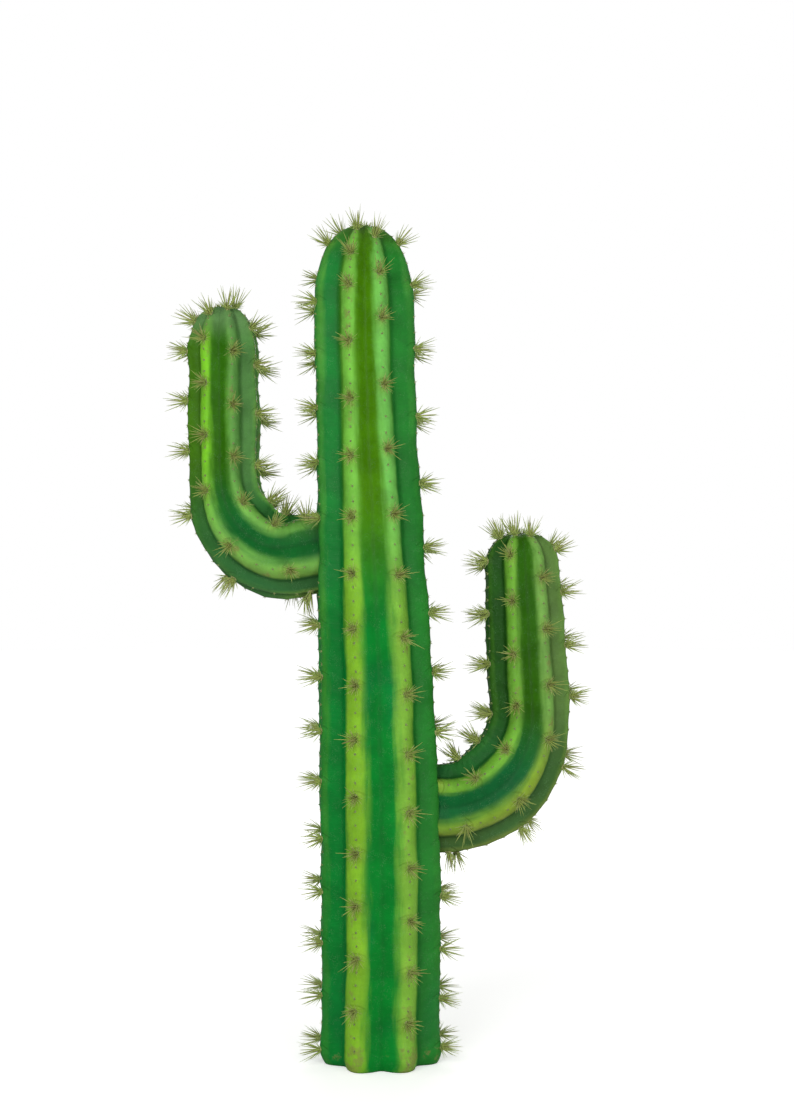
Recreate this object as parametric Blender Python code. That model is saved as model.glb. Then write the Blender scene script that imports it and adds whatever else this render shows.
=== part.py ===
"""A ribbed columnar cactus with two raised arms, at its real size in metres, +Z up.

The trunk rises from a flat cut at ground level, whose centre is the origin, and leans a little. Each
arm leaves the trunk sideways and turns up through an elbow, where it is split into a lower and an
upper solid. Clusters of three spines stand on the rib crests at an even spacing. Left and right are
those of someone who looks along +Y.
"""

import math
from typing import NamedTuple

import bmesh
import bpy
import numpy as np


class SpineKind(NamedTuple):
    """Lengths in metres, and the lean towards the limb's tip in degrees."""

    name: str
    length: float
    lean: float
    radius: float
    depth: float


# Trunk
TRUNK_HEIGHT = 3.20
TRUNK_FOOT_RADIUS = 0.238
TRUNK_TOP_RADIUS = 0.208
TRUNK_TAPER_HEIGHTS = (0.66, 2.56)
TRUNK_LEAN = np.array([-0.067, 0.020, 0.0])
TRUNK_LEAN_HEIGHTS = (0.46, 3.16)
TRUNK_DOME_HEIGHT = 0.30
TRUNK_DOME_FULLNESS = 2.2
TRUNK_TURN_HEIGHTS = (0.0, 1.5, 2.9)
TRUNK_TURNS = (math.radians(1.3), math.radians(5.5), math.radians(2.5))
TRUNK_SPREAD_HEIGHTS = (1.3, 2.9)
TRUNK_SPREADS = (0.05, -0.15)
FOOT_ROUNDING_HEIGHT = 0.045
FOOT_ROUNDING_SHARE = 0.06

# Ribs
RIBS = 8
GROOVE_DEPTH = 0.21
GROOVE_SHARPNESS = 0.55
RIB_PHASES = (-0.12, 0.12, 0.34, 0.50, 0.66)
DOME_SAMPLES = 200
DOME_RINGS = (0.0, 0.38, 0.64, 0.82, 0.93, 0.985)

# Gaps between neighbouring solids
SPLIT_GAP = 0.0003
JUNCTION_GAP = 0.0004

# Spine clusters
SPINE_KINDS = (
    SpineKind("central", length=0.088, lean=4.0, radius=0.0042, depth=0.015),
    SpineKind("upper", length=0.064, lean=34.0, radius=0.0036, depth=0.012),
    SpineKind("lower", length=0.060, lean=-32.0, radius=0.0036, depth=0.013),
)
SPINE_SIDES = 3
SPINE_JITTER = math.radians(6.0)
SPINE_CLEARANCE = 0.009
SPINE_TEST_POINTS = 9
CLUSTER_JITTER = 0.005
APEX_CLEAR_SHARE = 0.36
LOWEST_SPINE = 0.012
SEED = 11

# How far along the spacing each rib's clusters are raised, rib by rib from the front groove
TRUNK_CLUSTER_PHASES = (0.65, 0.0, 0.0, 0.35, 0.65, 0.0, 0.0, 0.85)
ARM_CLUSTER_PHASES = (0.25, -0.05, 0.05, 0.30, 0.80, 0.57, 0.65, 0.85)
# First height, spacing and growth of the spacing
TRUNK_SPACING_LEFT = (0.058, 0.2015, 0.0)
TRUNK_SPACING_RIGHT = (0.066, 0.177, 0.00738)
ARM_SPACING = 0.200
DOME_SPACING_SHARE = 0.6

# The ribs that end in a crown cluster, and the share of the dome's width where it stands
TRUNK_CROWNS = {1: 0.70, 2: 0.32, 5: 0.42, 6: 0.70}
LEFT_CROWNS = {7: 0.50}
RIGHT_CROWNS = {0: 0.50}
CROWN_CLEAR = 0.13

# Fullness of the arms' domes
ARM_DOME_FULLNESS = 2.6

# Rings of the solids
TRUNK_RING_STEP = 0.22
ARM_RING_STEP = 0.13
BEND_RING_STEP = math.radians(10.0)
ARM_RADIUS_FROM = 0.20
CENTRELINE_SAMPLES = 600

# The arms stand a little behind the trunk's axis, and have a flatter neck where they leave it
ARM_SET_BACK = 0.035
NECK_STATIONS = (0.18, 0.46)

X_AXIS = np.array([1.0, 0.0, 0.0])
Z_AXIS = np.array([0.0, 0.0, 1.0])
FRONT = np.array([0.0, -1.0, 0.0])


def smooth_step(x):
    """0 below 0, 1 above 1 and 3x^2 - 2x^3 between them."""
    x = np.clip(x, 0.0, 1.0)
    return x * x * (3.0 - 2.0 * x)


def eased(x, places, values):
    """The value at x, eased from the value at each place to the next one's."""
    result = values[0]
    for start, end, before, after in zip(places, places[1:], values, values[1:]):
        result += (after - before) * smooth_step((x - start) / (end - start))
    return result


def unit(vector):
    return vector / np.linalg.norm(vector)


def groove_fall(phase):
    """Share of the groove's depth at a phase of the rib: 0 on the crest, 1 half a rib away from it."""
    across = 2.0 * abs(phase - round(phase))
    rounded = (1.0 - math.cos(math.pi * across)) / 2.0
    pointed = 1.0 - math.cos(math.pi * across / 2.0)
    return GROOVE_SHARPNESS * pointed + (1.0 - GROOVE_SHARPNESS) * rounded


def trunk_centre(height):
    return TRUNK_LEAN * eased(height, TRUNK_LEAN_HEIGHTS, (0.0, 1.0)) + Z_AXIS * height


class Limb:
    """A ribbed stem round a centreline, closed by a dome at its tip.

    A station is a length along the limb. Up to the shoulder it follows the centreline, and beyond
    it the dome's outline.
    """

    def __init__(self, name, length, dome_height, dome_fullness, crowns):
        self.name = name
        self.crowns = crowns
        self.shoulder = length - dome_height
        self.dome_rise = np.linspace(0.0, 1.0, DOME_SAMPLES)
        self.dome_width = (1.0 - self.dome_rise**2) ** (1.0 / dome_fullness)
        self.dome_height = dome_height
        widths = self.stem_radius(self.shoulder) * self.dome_width
        steps = np.hypot(np.diff(self.dome_rise * dome_height), np.diff(widths))
        self.dome_stations = self.shoulder + np.concatenate([[0.0], np.cumsum(steps)])
        self.tip_station = self.dome_stations[-1]

    def profile(self, station):
        """(length along the centreline, crest radius, share of the dome's width) at a station."""
        if station <= self.shoulder:
            return station, self.stem_radius(station), 1.0
        rise = np.interp(station, self.dome_stations, self.dome_rise)
        width = np.interp(station, self.dome_stations, self.dome_width)
        return (
            self.shoulder + rise * self.dome_height,
            self.stem_radius(self.shoulder) * width,
            width,
        )

    def point(self, rib, phase, station, swell=0.0):
        """The surface point at a phase of one rib, moved out by swell."""
        along, radius, _ = self.profile(station)
        centre, front, outer = self.frame(along)
        angle = self.angle(rib, phase, along)
        reach = radius * (1.0 - GROOVE_DEPTH * groove_fall(phase)) + swell
        return centre + reach * (math.cos(angle) * front + math.sin(angle) * outer)

    def angle(self, rib, phase, along):
        """Angle from the front of the limb towards its outer side, in radians."""
        even = (rib + 0.5 + phase) * math.tau / RIBS
        return even + self.rib_turn(along) + self.groove_spread(along) * math.sin(2.0 * even)

    def groove_spread(self, along):
        return 0.0

    def ring(self, station, swell=0.0):
        """The points round the limb at one station."""
        points = [self.point(rib, phase, station, swell) for rib in range(RIBS) for phase in RIB_PHASES]
        return np.array(points)

    def tip(self):
        return self.frame(self.shoulder + self.dome_height)[0]

    def dome_ring_stations(self):
        return [float(np.interp(rise, self.dome_rise, self.dome_stations)) for rise in DOME_RINGS]

    def crest_normal(self, rib, station):
        """(surface point, outward normal, direction towards the tip) on a rib's crest."""
        step = 0.002
        point = self.point(rib, 0.0, station)
        along = unit(self.point(rib, 0.0, station + step) - self.point(rib, 0.0, station - step))
        spoke = point - self.frame(self.profile(station)[0])[0]
        return point, unit(spoke - spoke.dot(along) * along), along

    def clusters(self, rib):
        """Stations of one rib's clusters: they crowd together on the dome, and a crown cluster tops some."""
        stations = self.cluster_stations(rib)
        beyond = np.maximum(0.0, stations - self.shoulder)
        stations = np.minimum(stations, self.shoulder) + DOME_SPACING_SHARE * beyond
        if rib in self.crowns:
            crown = np.interp(-self.crowns[rib], -self.dome_width, self.dome_stations)
            stations = np.append(stations[stations < crown - CROWN_CLEAR], crown)
        return stations

    def depth_samples(self):
        """Centres and crest radii along the limb, for measuring how far a point stands off it."""
        stations = np.arange(0.0, self.tip_station, 0.01)
        profiles = [self.profile(station) for station in stations]
        centres = np.array([self.frame(along)[0] for along, _, _ in profiles])
        return centres, np.array([radius for _, radius, _ in profiles])


class Trunk(Limb):
    """The upright stem. Its rings are level, so that the cut under it is flat."""

    def __init__(self):
        super().__init__("trunk", TRUNK_HEIGHT, TRUNK_DOME_HEIGHT, TRUNK_DOME_FULLNESS, TRUNK_CROWNS)

    def stem_radius(self, height):
        radius = eased(height, TRUNK_TAPER_HEIGHTS, (TRUNK_FOOT_RADIUS, TRUNK_TOP_RADIUS))
        tuck = max(0.0, 1.0 - height / FOOT_ROUNDING_HEIGHT)
        return radius * (1.0 - FOOT_ROUNDING_SHARE * tuck**2)

    def frame(self, height):
        """(centre, front direction, outer direction) at a height."""
        return trunk_centre(height), FRONT, X_AXIS

    def rib_turn(self, along):
        """The ribs wind a little one way and back again up the trunk."""
        return eased(along, TRUNK_TURN_HEIGHTS, TRUNK_TURNS)

    def groove_spread(self, along):
        """The front and back grooves are wide at the foot and narrow at the top."""
        return eased(along, TRUNK_SPREAD_HEIGHTS, TRUNK_SPREADS)

    def rings(self, swell=0.0):
        count = round((self.shoulder - FOOT_ROUNDING_HEIGHT) / TRUNK_RING_STEP)
        foot = [0.0, FOOT_ROUNDING_HEIGHT / 2.0]
        stem = list(np.linspace(FOOT_ROUNDING_HEIGHT, self.shoulder, count + 1)[:-1])
        return [self.ring(station, swell) for station in foot + stem + self.dome_ring_stations()]

    def cluster_stations(self, rib):
        """Heights of the spine clusters on one rib: the left and the right side space theirs differently."""
        toward_right = (1.0 + math.sin(self.angle(rib, 0.0, 0.0))) / 2.0
        first, step, growth = (
            left + (right - left) * toward_right
            for left, right in zip(TRUNK_SPACING_LEFT, TRUNK_SPACING_RIGHT)
        )
        numbers = np.arange(0, 20) + TRUNK_CLUSTER_PHASES[rib]
        return first + step * numbers + growth * numbers**2 / 2.0


class Arm(Limb):
    """A side stem: a straight root out of the trunk's axis, a bend and an upright.

    The bend turns fast where it leaves the root and ever slower towards the upright: its heading
    follows 1 - (1 - t)^power, with t the share of its length.
    """

    def __init__(
        self,
        name,
        side,
        root_height,
        root_slope,
        bend_start,
        bend_length,
        bend_power,
        upright_lean,
        top_height,
        dome_height,
        radii,
        neck_depth,
        rib_turns,
        root_spread,
        top_cluster_drop,
        crowns,
    ):
        self.out = X_AXIS * side
        self.slope = math.radians(root_slope)
        self.turn = math.radians(90.0 + upright_lean) - self.slope
        self.bend_power = bend_power
        self.bend_length = bend_length
        self.root_length = bend_start / math.cos(self.slope)
        self.bend_end = self.root_length + bend_length
        self.split = self.bend_station(0.5)
        self.root = trunk_centre(root_height) - ARM_SET_BACK * FRONT
        self.trace_centreline(top_height)
        length = np.interp(top_height, self.traced[:, 2], self.traced_lengths)
        self.radius_stations = (
            ARM_RADIUS_FROM,
            self.root_length + bend_length / 2.0,
            self.bend_end,
            length - dome_height,
        )
        self.radii = radii
        self.neck_depth = neck_depth
        self.rib_turns = [math.radians(turn) for turn in rib_turns]
        self.root_spread = root_spread
        self.top_cluster = length - top_cluster_drop
        super().__init__(name, length, dome_height, ARM_DOME_FULLNESS, crowns)

    def bend_station(self, share):
        """Where the bend has made a share of its whole turn."""
        return self.root_length + self.bend_length * (1.0 - (1.0 - share) ** (1.0 / self.bend_power))

    def heading(self, along):
        """Angle of the centreline above the level, in radians."""
        share = np.clip((along - self.root_length) / self.bend_length, 0.0, 1.0)
        return self.slope + self.turn * (1.0 - (1.0 - share) ** self.bend_power)

    def direction(self, along):
        heading = self.heading(along)
        return self.out * math.cos(heading) + Z_AXIS * math.sin(heading)

    def trace_centreline(self, top_height):
        """Follows the heading from the root to past the top in short straight steps."""
        longest = self.bend_end + top_height - self.root[2]
        self.traced_lengths, step = np.linspace(0.0, longest, CENTRELINE_SAMPLES, retstep=True)
        middles = self.traced_lengths[:-1] + step / 2.0
        steps = step * np.array([self.direction(along) for along in middles])
        self.traced = self.root + np.concatenate([np.zeros((1, 3)), np.cumsum(steps, axis=0)])

    def centre_at(self, along):
        return np.array([np.interp(along, self.traced_lengths, column) for column in self.traced.T])

    def stem_radius(self, along):
        return eased(along, self.radius_stations, self.radii)

    def frame(self, along):
        """(centre, front direction, outer direction), the outer one away from the bend's inside.

        The front one is shorter in the neck, by the share of the arm's depth that it has there.
        """
        heading = self.heading(along)
        outer = self.out * math.sin(heading) - Z_AXIS * math.cos(heading)
        depth = eased(along, NECK_STATIONS, (self.neck_depth, 1.0))
        return self.centre_at(along), FRONT * depth, outer

    def rib_turn(self, along):
        """The ribs turn slowly round the arm, from its root to the bend's end."""
        return eased(along, (0.0, self.bend_end), self.rib_turns)

    def groove_spread(self, along):
        """How far the front and back grooves are opened at the root."""
        return eased(along, (0.0, self.bend_end), (self.root_spread, 0.0))

    def lower_rings(self):
        """From the trunk's axis to just below the plane that splits the bend."""
        roots = round(self.root_length / ARM_RING_STEP)
        turns = math.ceil(self.turn / 2.0 / BEND_RING_STEP)
        stations = list(np.linspace(0.0, self.root_length, roots + 1)[:-1])
        stations += [self.bend_station(share) for share in np.linspace(0.0, 0.5, turns + 1)[:-1]]
        rings = [self.ring(station) for station in stations]
        return rings + [self.ring(self.split) - SPLIT_GAP / 2.0 * self.direction(self.split)]

    def upper_rings(self):
        """From just above the plane that splits the bend to the dome."""
        turns = math.ceil(self.turn / 2.0 / BEND_RING_STEP)
        uprights = round((self.shoulder - self.bend_end) / ARM_RING_STEP)
        stations = [self.bend_station(share) for share in np.linspace(0.5, 1.0, turns + 1)[1:-1]]
        stations += list(np.linspace(self.bend_end, self.shoulder, uprights + 1)[:-1])
        stations += self.dome_ring_stations()
        rings = [self.ring(station) for station in stations]
        return [self.ring(self.split) + SPLIT_GAP / 2.0 * self.direction(self.split)] + rings

    def cluster_stations(self, rib):
        numbers = np.arange(-8, 4) + ARM_CLUSTER_PHASES[rib]
        return self.top_cluster + ARM_SPACING * numbers

    def split_side(self, points):
        """Distance of points from the plane that splits the bend, above 0 on the upper solid's side."""
        return (points - self.centre_at(self.split)) @ self.direction(self.split)


class SpineField:
    """Places the spines of every limb, and skips one that would touch a limb or another cluster."""

    def __init__(self, limbs):
        self.limbs = {limb.name: limb.depth_samples() for limb in limbs}
        self.placed = np.empty((0, 3))

    def stands_clear(self, limb, points):
        """Whether a spine's test points clear the ground, the other limbs and the other clusters."""
        if points[:, 2].min() < LOWEST_SPINE:
            return False
        for name, (centres, radii) in self.limbs.items():
            if name == limb.name:
                continue
            distances = np.linalg.norm(points[:, None] - centres, axis=2) - radii
            if distances.min() < SPINE_CLEARANCE:
                return False
        if not len(self.placed):
            return True
        return np.linalg.norm(points[:, None] - self.placed, axis=2).min() > SPINE_CLEARANCE

    def grow(self, limb, seed):
        """The limb's spines as (kind, base, tip), cluster by cluster."""
        rng = np.random.default_rng(seed)
        spines = []
        for rib in range(RIBS):
            for station in limb.clusters(rib):
                shift, *turns = rng.normal(size=1 + 2 * len(SPINE_KINDS))
                station += CLUSTER_JITTER * float(np.clip(shift, -1.5, 1.5))
                if not 0.0 < station < limb.tip_station:
                    continue
                if limb.profile(station)[2] < APEX_CLEAR_SHARE:
                    continue
                spines += self.cluster(limb, rib, station, turns)
        return spines

    def cluster(self, limb, rib, station, turns):
        point, normal, along = limb.crest_normal(rib, station)
        across = np.cross(normal, along)
        found = []
        for number, kind in enumerate(SPINE_KINDS):
            tilt = math.radians(kind.lean) + SPINE_JITTER * turns[2 * number]
            swing = SPINE_JITTER * turns[2 * number + 1]
            direction = unit(normal + math.tan(tilt) * along + math.tan(swing) * across)
            base, tip = point - kind.depth * normal, point + kind.length * direction
            if self.stands_clear(limb, np.linspace(base, tip, SPINE_TEST_POINTS)):
                found.append((kind, base, tip))
        tests = [np.linspace(base, tip, 2 * SPINE_TEST_POINTS) for _, base, tip in found]
        self.placed = np.concatenate([self.placed, *tests])
        return found


def make_material(name, colour, roughness):
    material = bpy.data.materials.new(name)
    material.use_nodes = True
    surface = material.node_tree.nodes["Principled BSDF"]
    surface.inputs["Base Color"].default_value = (*colour, 1.0)
    surface.inputs["Roughness"].default_value = roughness
    surface.inputs["Metallic"].default_value = 0.0
    return material


def make_object(name, points, faces, origin=(0.0, 0.0, 0.0)):
    """A closed mesh object with its faces turned out, placed at its origin."""
    mesh = bpy.data.meshes.new(name)
    mesh.from_pydata([tuple(np.subtract(point, origin)) for point in points], [], faces)
    work = bmesh.new()
    work.from_mesh(mesh)
    bmesh.ops.recalc_face_normals(work, faces=work.faces)
    work.to_mesh(mesh)
    work.free()
    made = bpy.data.objects.new(name, mesh)
    made.location = origin
    bpy.context.scene.collection.objects.link(made)
    return made


def ribbed_tube(name, rings, tip=None, origin=(0.0, 0.0, 0.0)):
    """A solid through the rings, flat at its root and flat or drawn to a tip at its other end.

    Its sides are triangles whose diagonals all run the same way, so that the surface of a tube and of
    the same tube swelled stay evenly apart where the ribs wind.
    """
    around = len(rings[0])
    points = list(np.concatenate(rings))
    faces = [tuple(range(around))]
    for low in range(0, (len(rings) - 1) * around, around):
        for i in range(around):
            j = (i + 1) % around
            faces.append((low + i, low + j, low + around + j))
            faces.append((low + i, low + around + j, low + around + i))
    last = (len(rings) - 1) * around
    if tip is None:
        faces.append(tuple(range(last, last + around)))
    else:
        points.append(tip)
        faces += [(last + i, last + (i + 1) % around, last + around) for i in range(around)]
    return make_object(name, points, faces, origin)


def spine_sets(name, spines, collection):
    """One object for each kind of spine, each spine a slim cone with its base inside the limb."""
    for kind in SPINE_KINDS:
        points, faces = [], []
        for base, tip in ((base, tip) for grown, base, tip in spines if grown is kind):
            direction = unit(tip - base)
            side = unit(np.cross(direction, Z_AXIS + 0.3 * X_AXIS))
            other = np.cross(direction, side)
            first = len(points)
            for corner in range(SPINE_SIDES):
                turn = corner * math.tau / SPINE_SIDES
                spoke = math.cos(turn) * side + math.sin(turn) * other
                points.append(base + kind.radius * spoke)
            points.append(tip)
            apex = first + SPINE_SIDES
            corners = list(range(first, apex))
            faces.append(tuple(corners))
            faces += [(a, b, apex) for a, b in zip(corners, corners[1:] + corners[:1])]
        if points:
            made = make_object(f"{name}_{kind.name}_spines", points, faces)
            bpy.context.scene.collection.objects.unlink(made)
            collection.objects.link(made)


def apply_modifiers(made):
    """Keeps the mesh as its modifiers leave it."""
    graph = bpy.context.evaluated_depsgraph_get()
    mesh = bpy.data.meshes.new_from_object(made.evaluated_get(graph))
    made.modifiers.clear()
    made.data = mesh


def cut_by_trunk(made, trunk):
    """Ends an arm just clear of the trunk's ribbed surface."""
    cutter = ribbed_tube("trunk_cutter", trunk.rings(swell=JUNCTION_GAP), trunk.tip())
    cutter.hide_render = True
    cutter.display_type = "WIRE"
    cut = made.modifiers.new("clear of the trunk", "BOOLEAN")
    cut.operation = "DIFFERENCE"
    cut.object = cutter
    apply_modifiers(made)
    bpy.data.objects.remove(cutter)


def join_spines(made, spines):
    """Fuses the spines to their limb with one union."""
    collection = bpy.data.collections.new(f"{made.name}_spines")
    bpy.context.scene.collection.children.link(collection)
    spine_sets(made.name, spines, collection)
    union = made.modifiers.new("spines", "BOOLEAN")
    union.operation = "UNION"
    union.operand_type = "COLLECTION"
    union.collection = collection
    apply_modifiers(made)
    for spare in list(collection.objects):
        bpy.data.objects.remove(spare)
    bpy.data.collections.remove(collection)


def finish(made, material, parent):
    made.data.materials.clear()
    made.data.materials.append(material)
    made.data.shade_smooth()
    made.data.set_sharp_from_angle(angle=math.radians(50.0))
    made.parent = parent


def make_arms():
    left = Arm(
        "left_arm",
        side=-1,
        root_height=1.968,
        root_slope=-8.4,
        bend_start=0.289,
        bend_length=0.513,
        bend_power=1.58,
        upright_lean=-0.6,
        top_height=2.892,
        dome_height=0.19,
        radii=(0.158, 0.160, 0.139, 0.138),
        neck_depth=0.76,
        rib_turns=(-27.0, 3.5),
        root_spread=0.44,
        top_cluster_drop=0.157,
        crowns=LEFT_CROWNS,
    )
    right = Arm(
        "right_arm",
        side=1,
        root_height=0.947,
        root_slope=1.1,
        bend_start=0.237,
        bend_length=0.595,
        bend_power=1.13,
        upright_lean=3.0,
        top_height=2.016,
        dome_height=0.125,
        radii=(0.173, 0.180, 0.162, 0.147),
        neck_depth=0.62,
        rib_turns=(-10.0, 2.0),
        root_spread=0.20,
        top_cluster_drop=0.227,
        crowns=RIGHT_CROWNS,
    )
    return left, right


def build_trunk(trunk, field, parent):
    made = ribbed_tube("trunk", trunk.rings(), trunk.tip())
    join_spines(made, field.grow(trunk, SEED))
    finish(made, make_material("trunk skin", (0.030, 0.260, 0.060), 0.55), parent)


def build_arm(arm, trunk, field, seed, material, parent):
    """The arm's two solids, with each spine on the solid that its whole length lies beside."""
    lower = ribbed_tube(f"{arm.name}_lower", arm.lower_rings(), origin=arm.root)
    upper = ribbed_tube(f"{arm.name}_upper", arm.upper_rings(), arm.tip(), arm.centre_at(arm.split))
    cut_by_trunk(lower, trunk)
    spines = field.grow(arm, seed)
    sides = [arm.split_side(np.array([base, tip])) for _, base, tip in spines]
    clearance = max(kind.radius for kind in SPINE_KINDS) + SPLIT_GAP
    join_spines(lower, [spine for spine, side in zip(spines, sides) if side.max() < -clearance])
    join_spines(upper, [spine for spine, side in zip(spines, sides) if side.min() > clearance])
    for made in (lower, upper):
        finish(made, material, parent)


def main():
    for old in list(bpy.data.objects):
        bpy.data.objects.remove(old)
    plant = bpy.data.objects.new("cactus", None)
    bpy.context.scene.collection.objects.link(plant)
    trunk = Trunk()
    left, right = make_arms()
    field = SpineField([trunk, left, right])
    build_trunk(trunk, field, plant)
    left_skin = make_material("left arm skin", (0.045, 0.230, 0.050), 0.55)
    right_skin = make_material("right arm skin", (0.055, 0.200, 0.035), 0.55)
    build_arm(left, trunk, field, SEED + 1, left_skin, plant)
    build_arm(right, trunk, field, SEED + 2, right_skin, plant)


main()
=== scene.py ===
"""The looks of a ribbed columnar cactus with two raised arms.

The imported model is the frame. A skin mesh with the relief of a living stem replaces the trunk and
each arm, and felt pads, spines and bristles grow from it by the rule that places the solids'
spines. Lengths are in metres. A station is a length along a limb, and a phase is a share of one
rib, 0 on its crest.
"""

import logging
import math
from dataclasses import dataclass, field
from enum import Enum
from typing import NamedTuple

import bpy
import numpy as np
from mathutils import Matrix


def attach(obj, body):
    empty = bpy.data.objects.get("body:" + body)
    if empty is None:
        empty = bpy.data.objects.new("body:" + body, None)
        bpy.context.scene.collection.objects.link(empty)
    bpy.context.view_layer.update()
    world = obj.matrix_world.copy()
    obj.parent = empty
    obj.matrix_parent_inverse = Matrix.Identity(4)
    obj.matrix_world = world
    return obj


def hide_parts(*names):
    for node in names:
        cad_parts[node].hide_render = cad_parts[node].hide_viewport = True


LOG = logging.getLogger("cactus")

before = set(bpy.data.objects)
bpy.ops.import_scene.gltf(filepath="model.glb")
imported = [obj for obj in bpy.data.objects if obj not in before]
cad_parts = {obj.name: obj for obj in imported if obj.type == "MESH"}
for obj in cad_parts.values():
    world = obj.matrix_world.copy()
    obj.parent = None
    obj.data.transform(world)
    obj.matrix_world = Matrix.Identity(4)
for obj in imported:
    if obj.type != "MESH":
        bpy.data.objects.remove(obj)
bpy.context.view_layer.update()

Array = np.ndarray
Colour = tuple[float, float, float]
Range = tuple[float, float]
Socket = bpy.types.NodeSocket
Sockets = bpy.types.bpy_prop_collection

RIBS = 8
X_AXIS = np.array([1.0, 0.0, 0.0])
Z_AXIS = np.array([0.0, 0.0, 1.0])
FRONT = np.array([0.0, -1.0, 0.0])
# Off every axis: its cross product with a spine's direction gives one beside the spine.
OFF_AXIS = Z_AXIS + 0.31 * X_AXIS + 0.17 * FRONT


def unit(vectors: Array) -> Array:
    """The vectors along the last axis, each at length 1."""
    return vectors / np.linalg.norm(vectors, axis=-1, keepdims=True)


def nearness(station: Array, places: Array, length: float) -> Array:
    """The sum of one Gaussian round each place, whose width is the given length."""
    return np.exp(-(((np.asarray(station)[..., None] - places) / length) ** 2)).sum(axis=-1)


class Course(NamedTuple):
    """A value that changes along a length, and is level beyond its first and last places."""

    places: tuple[float, ...]
    values: tuple[float, ...]

    def at(self, along: Array | float) -> Array:
        """The value, eased by 3t^2 - 2t^3 from each place to the next.

        Args:
            along: positions along the length.

        Returns:
            The values there.
        """
        ends = zip(self.places, self.places[1:], self.values, self.values[1:])
        result = self.values[0] + 0.0 * np.asarray(along, dtype=float)
        for start, end, before, after in ends:
            t = np.clip((along - start) / (end - start), 0.0, 1.0)
            result = result + (after - before) * (t * t * (3.0 - 2.0 * t))
        return result


@dataclass(frozen=True)
class Wander:
    """A slow wander along a length, which stays within about its size.

    It is a sum of sines of seeded phase, whose wavelengths run from the shortest to the longest.
    """

    size: float
    shortest: float
    longest: float
    seed: int = 0
    sines: int = 4

    def at(self, along: Array, seed: int) -> Array:
        """The wander.

        Args:
            along: positions along the length.
            seed: picks the phases, together with the wander's own seed.

        Returns:
            Its values there.
        """
        waves = np.geomspace(self.shortest, self.longest, self.sines)
        phases = np.random.default_rng(self.seed + seed).uniform(0.0, math.tau, self.sines)
        total = sum(np.sin(math.tau * along / wave + phase) for wave, phase in zip(waves, phases))
        return self.size * (total / math.sqrt(self.sines))


@dataclass(frozen=True)
class RibShape:
    """The cross-section that every limb shares."""

    groove_depth: float = 0.21
    sharpness: float = 0.55
    bottom_rounding: float = 0.09

    def fall(self, phase: Array) -> Array:
        """Share of the groove's depth at a phase.

        A blend of 1 - cos, which makes a pointed groove, and of half of 1 - cos of twice the
        angle, which makes a rounded one. The very bottom is rounded by a hyperbola.

        Args:
            phase: share of a rib from its crest, any whole number of ribs away.

        Returns:
            0 on a crest and 1 at the bottom of a groove.
        """
        across = 2.0 * np.abs(phase - np.round(phase))
        across = 1.0 - np.hypot(1.0 - across, self.bottom_rounding * across**4)
        rounded = (1.0 - np.cos(math.pi * across)) / 2.0
        pointed = 1.0 - np.cos(math.pi * across / 2.0)
        return self.sharpness * pointed + (1.0 - self.sharpness) * rounded


class ClusterRank(Enum):
    """The two sizes of areole on a crest."""

    MAIN = "main"
    SMALL = "small"


class Hill(NamedTuple):
    """What rises round each areole of one rank, as a Gaussian along and across its rib."""

    rank: ClusterRank
    height: float
    length: float
    width: float


@dataclass(frozen=True)
class SkinRelief:
    """How far the living skin departs from the even ribbed form, and where its finish changes."""

    swellings: tuple[Hill, ...] = (
        Hill(ClusterRank.MAIN, height=0.0055, length=0.026, width=0.115),
        Hill(ClusterRank.SMALL, height=0.0022, length=0.011, width=0.115),
    )
    glow: Hill = Hill(ClusterRank.MAIN, height=1.0, length=0.032, width=0.15)
    crest_swing: Wander = Wander(0.012, 0.35, 1.4)
    rib_wander: Wander = Wander(0.0022, 0.16, 0.7, seed=20)
    ring_wander: Wander = Wander(0.0024, 0.22, 0.9, seed=40)
    crease_wander: Wander = Wander(2.0, 0.12, 0.6, seed=50)
    crease_step: float = 1.7
    crease_height: float = 0.0010
    crease_spacing: float = 0.052
    crease_slant: float = 0.055
    far_above: float = 0.2


@dataclass(frozen=True)
class AreoleRule:
    """How areoles stand along a crest. The main ones stand as the solids' clusters do."""

    crowding: float = 0.6
    crown_clearance: float = 0.13
    stray: float = 0.005
    most_stray: float = 1.5
    least_width: float = 0.36
    small_shares: tuple[float, ...] = (0.25, 0.5, 0.75)
    first_gap: float = 0.2
    tip_gap: float = 0.012
    root_gap: float = 0.02


class Seat(NamedTuple):
    """Where something grows: a point, the outward normal and the direction towards the tip."""

    point: Array
    normal: Array
    along: Array

    @property
    def across(self) -> Array:
        """The direction square to the normal and to the one towards the tip."""
        return np.cross(self.normal, self.along)

    def aside(self, turn: float) -> Array:
        """The direction along the skin at a turn from the one towards the tip."""
        return math.cos(turn) * self.along + math.sin(turn) * self.across

    def leaning(self, lean: float, aside: Array) -> Array:
        """The direction that leans from the normal towards one along the skin."""
        return unit(math.cos(lean) * self.normal + math.sin(lean) * aside)


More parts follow.
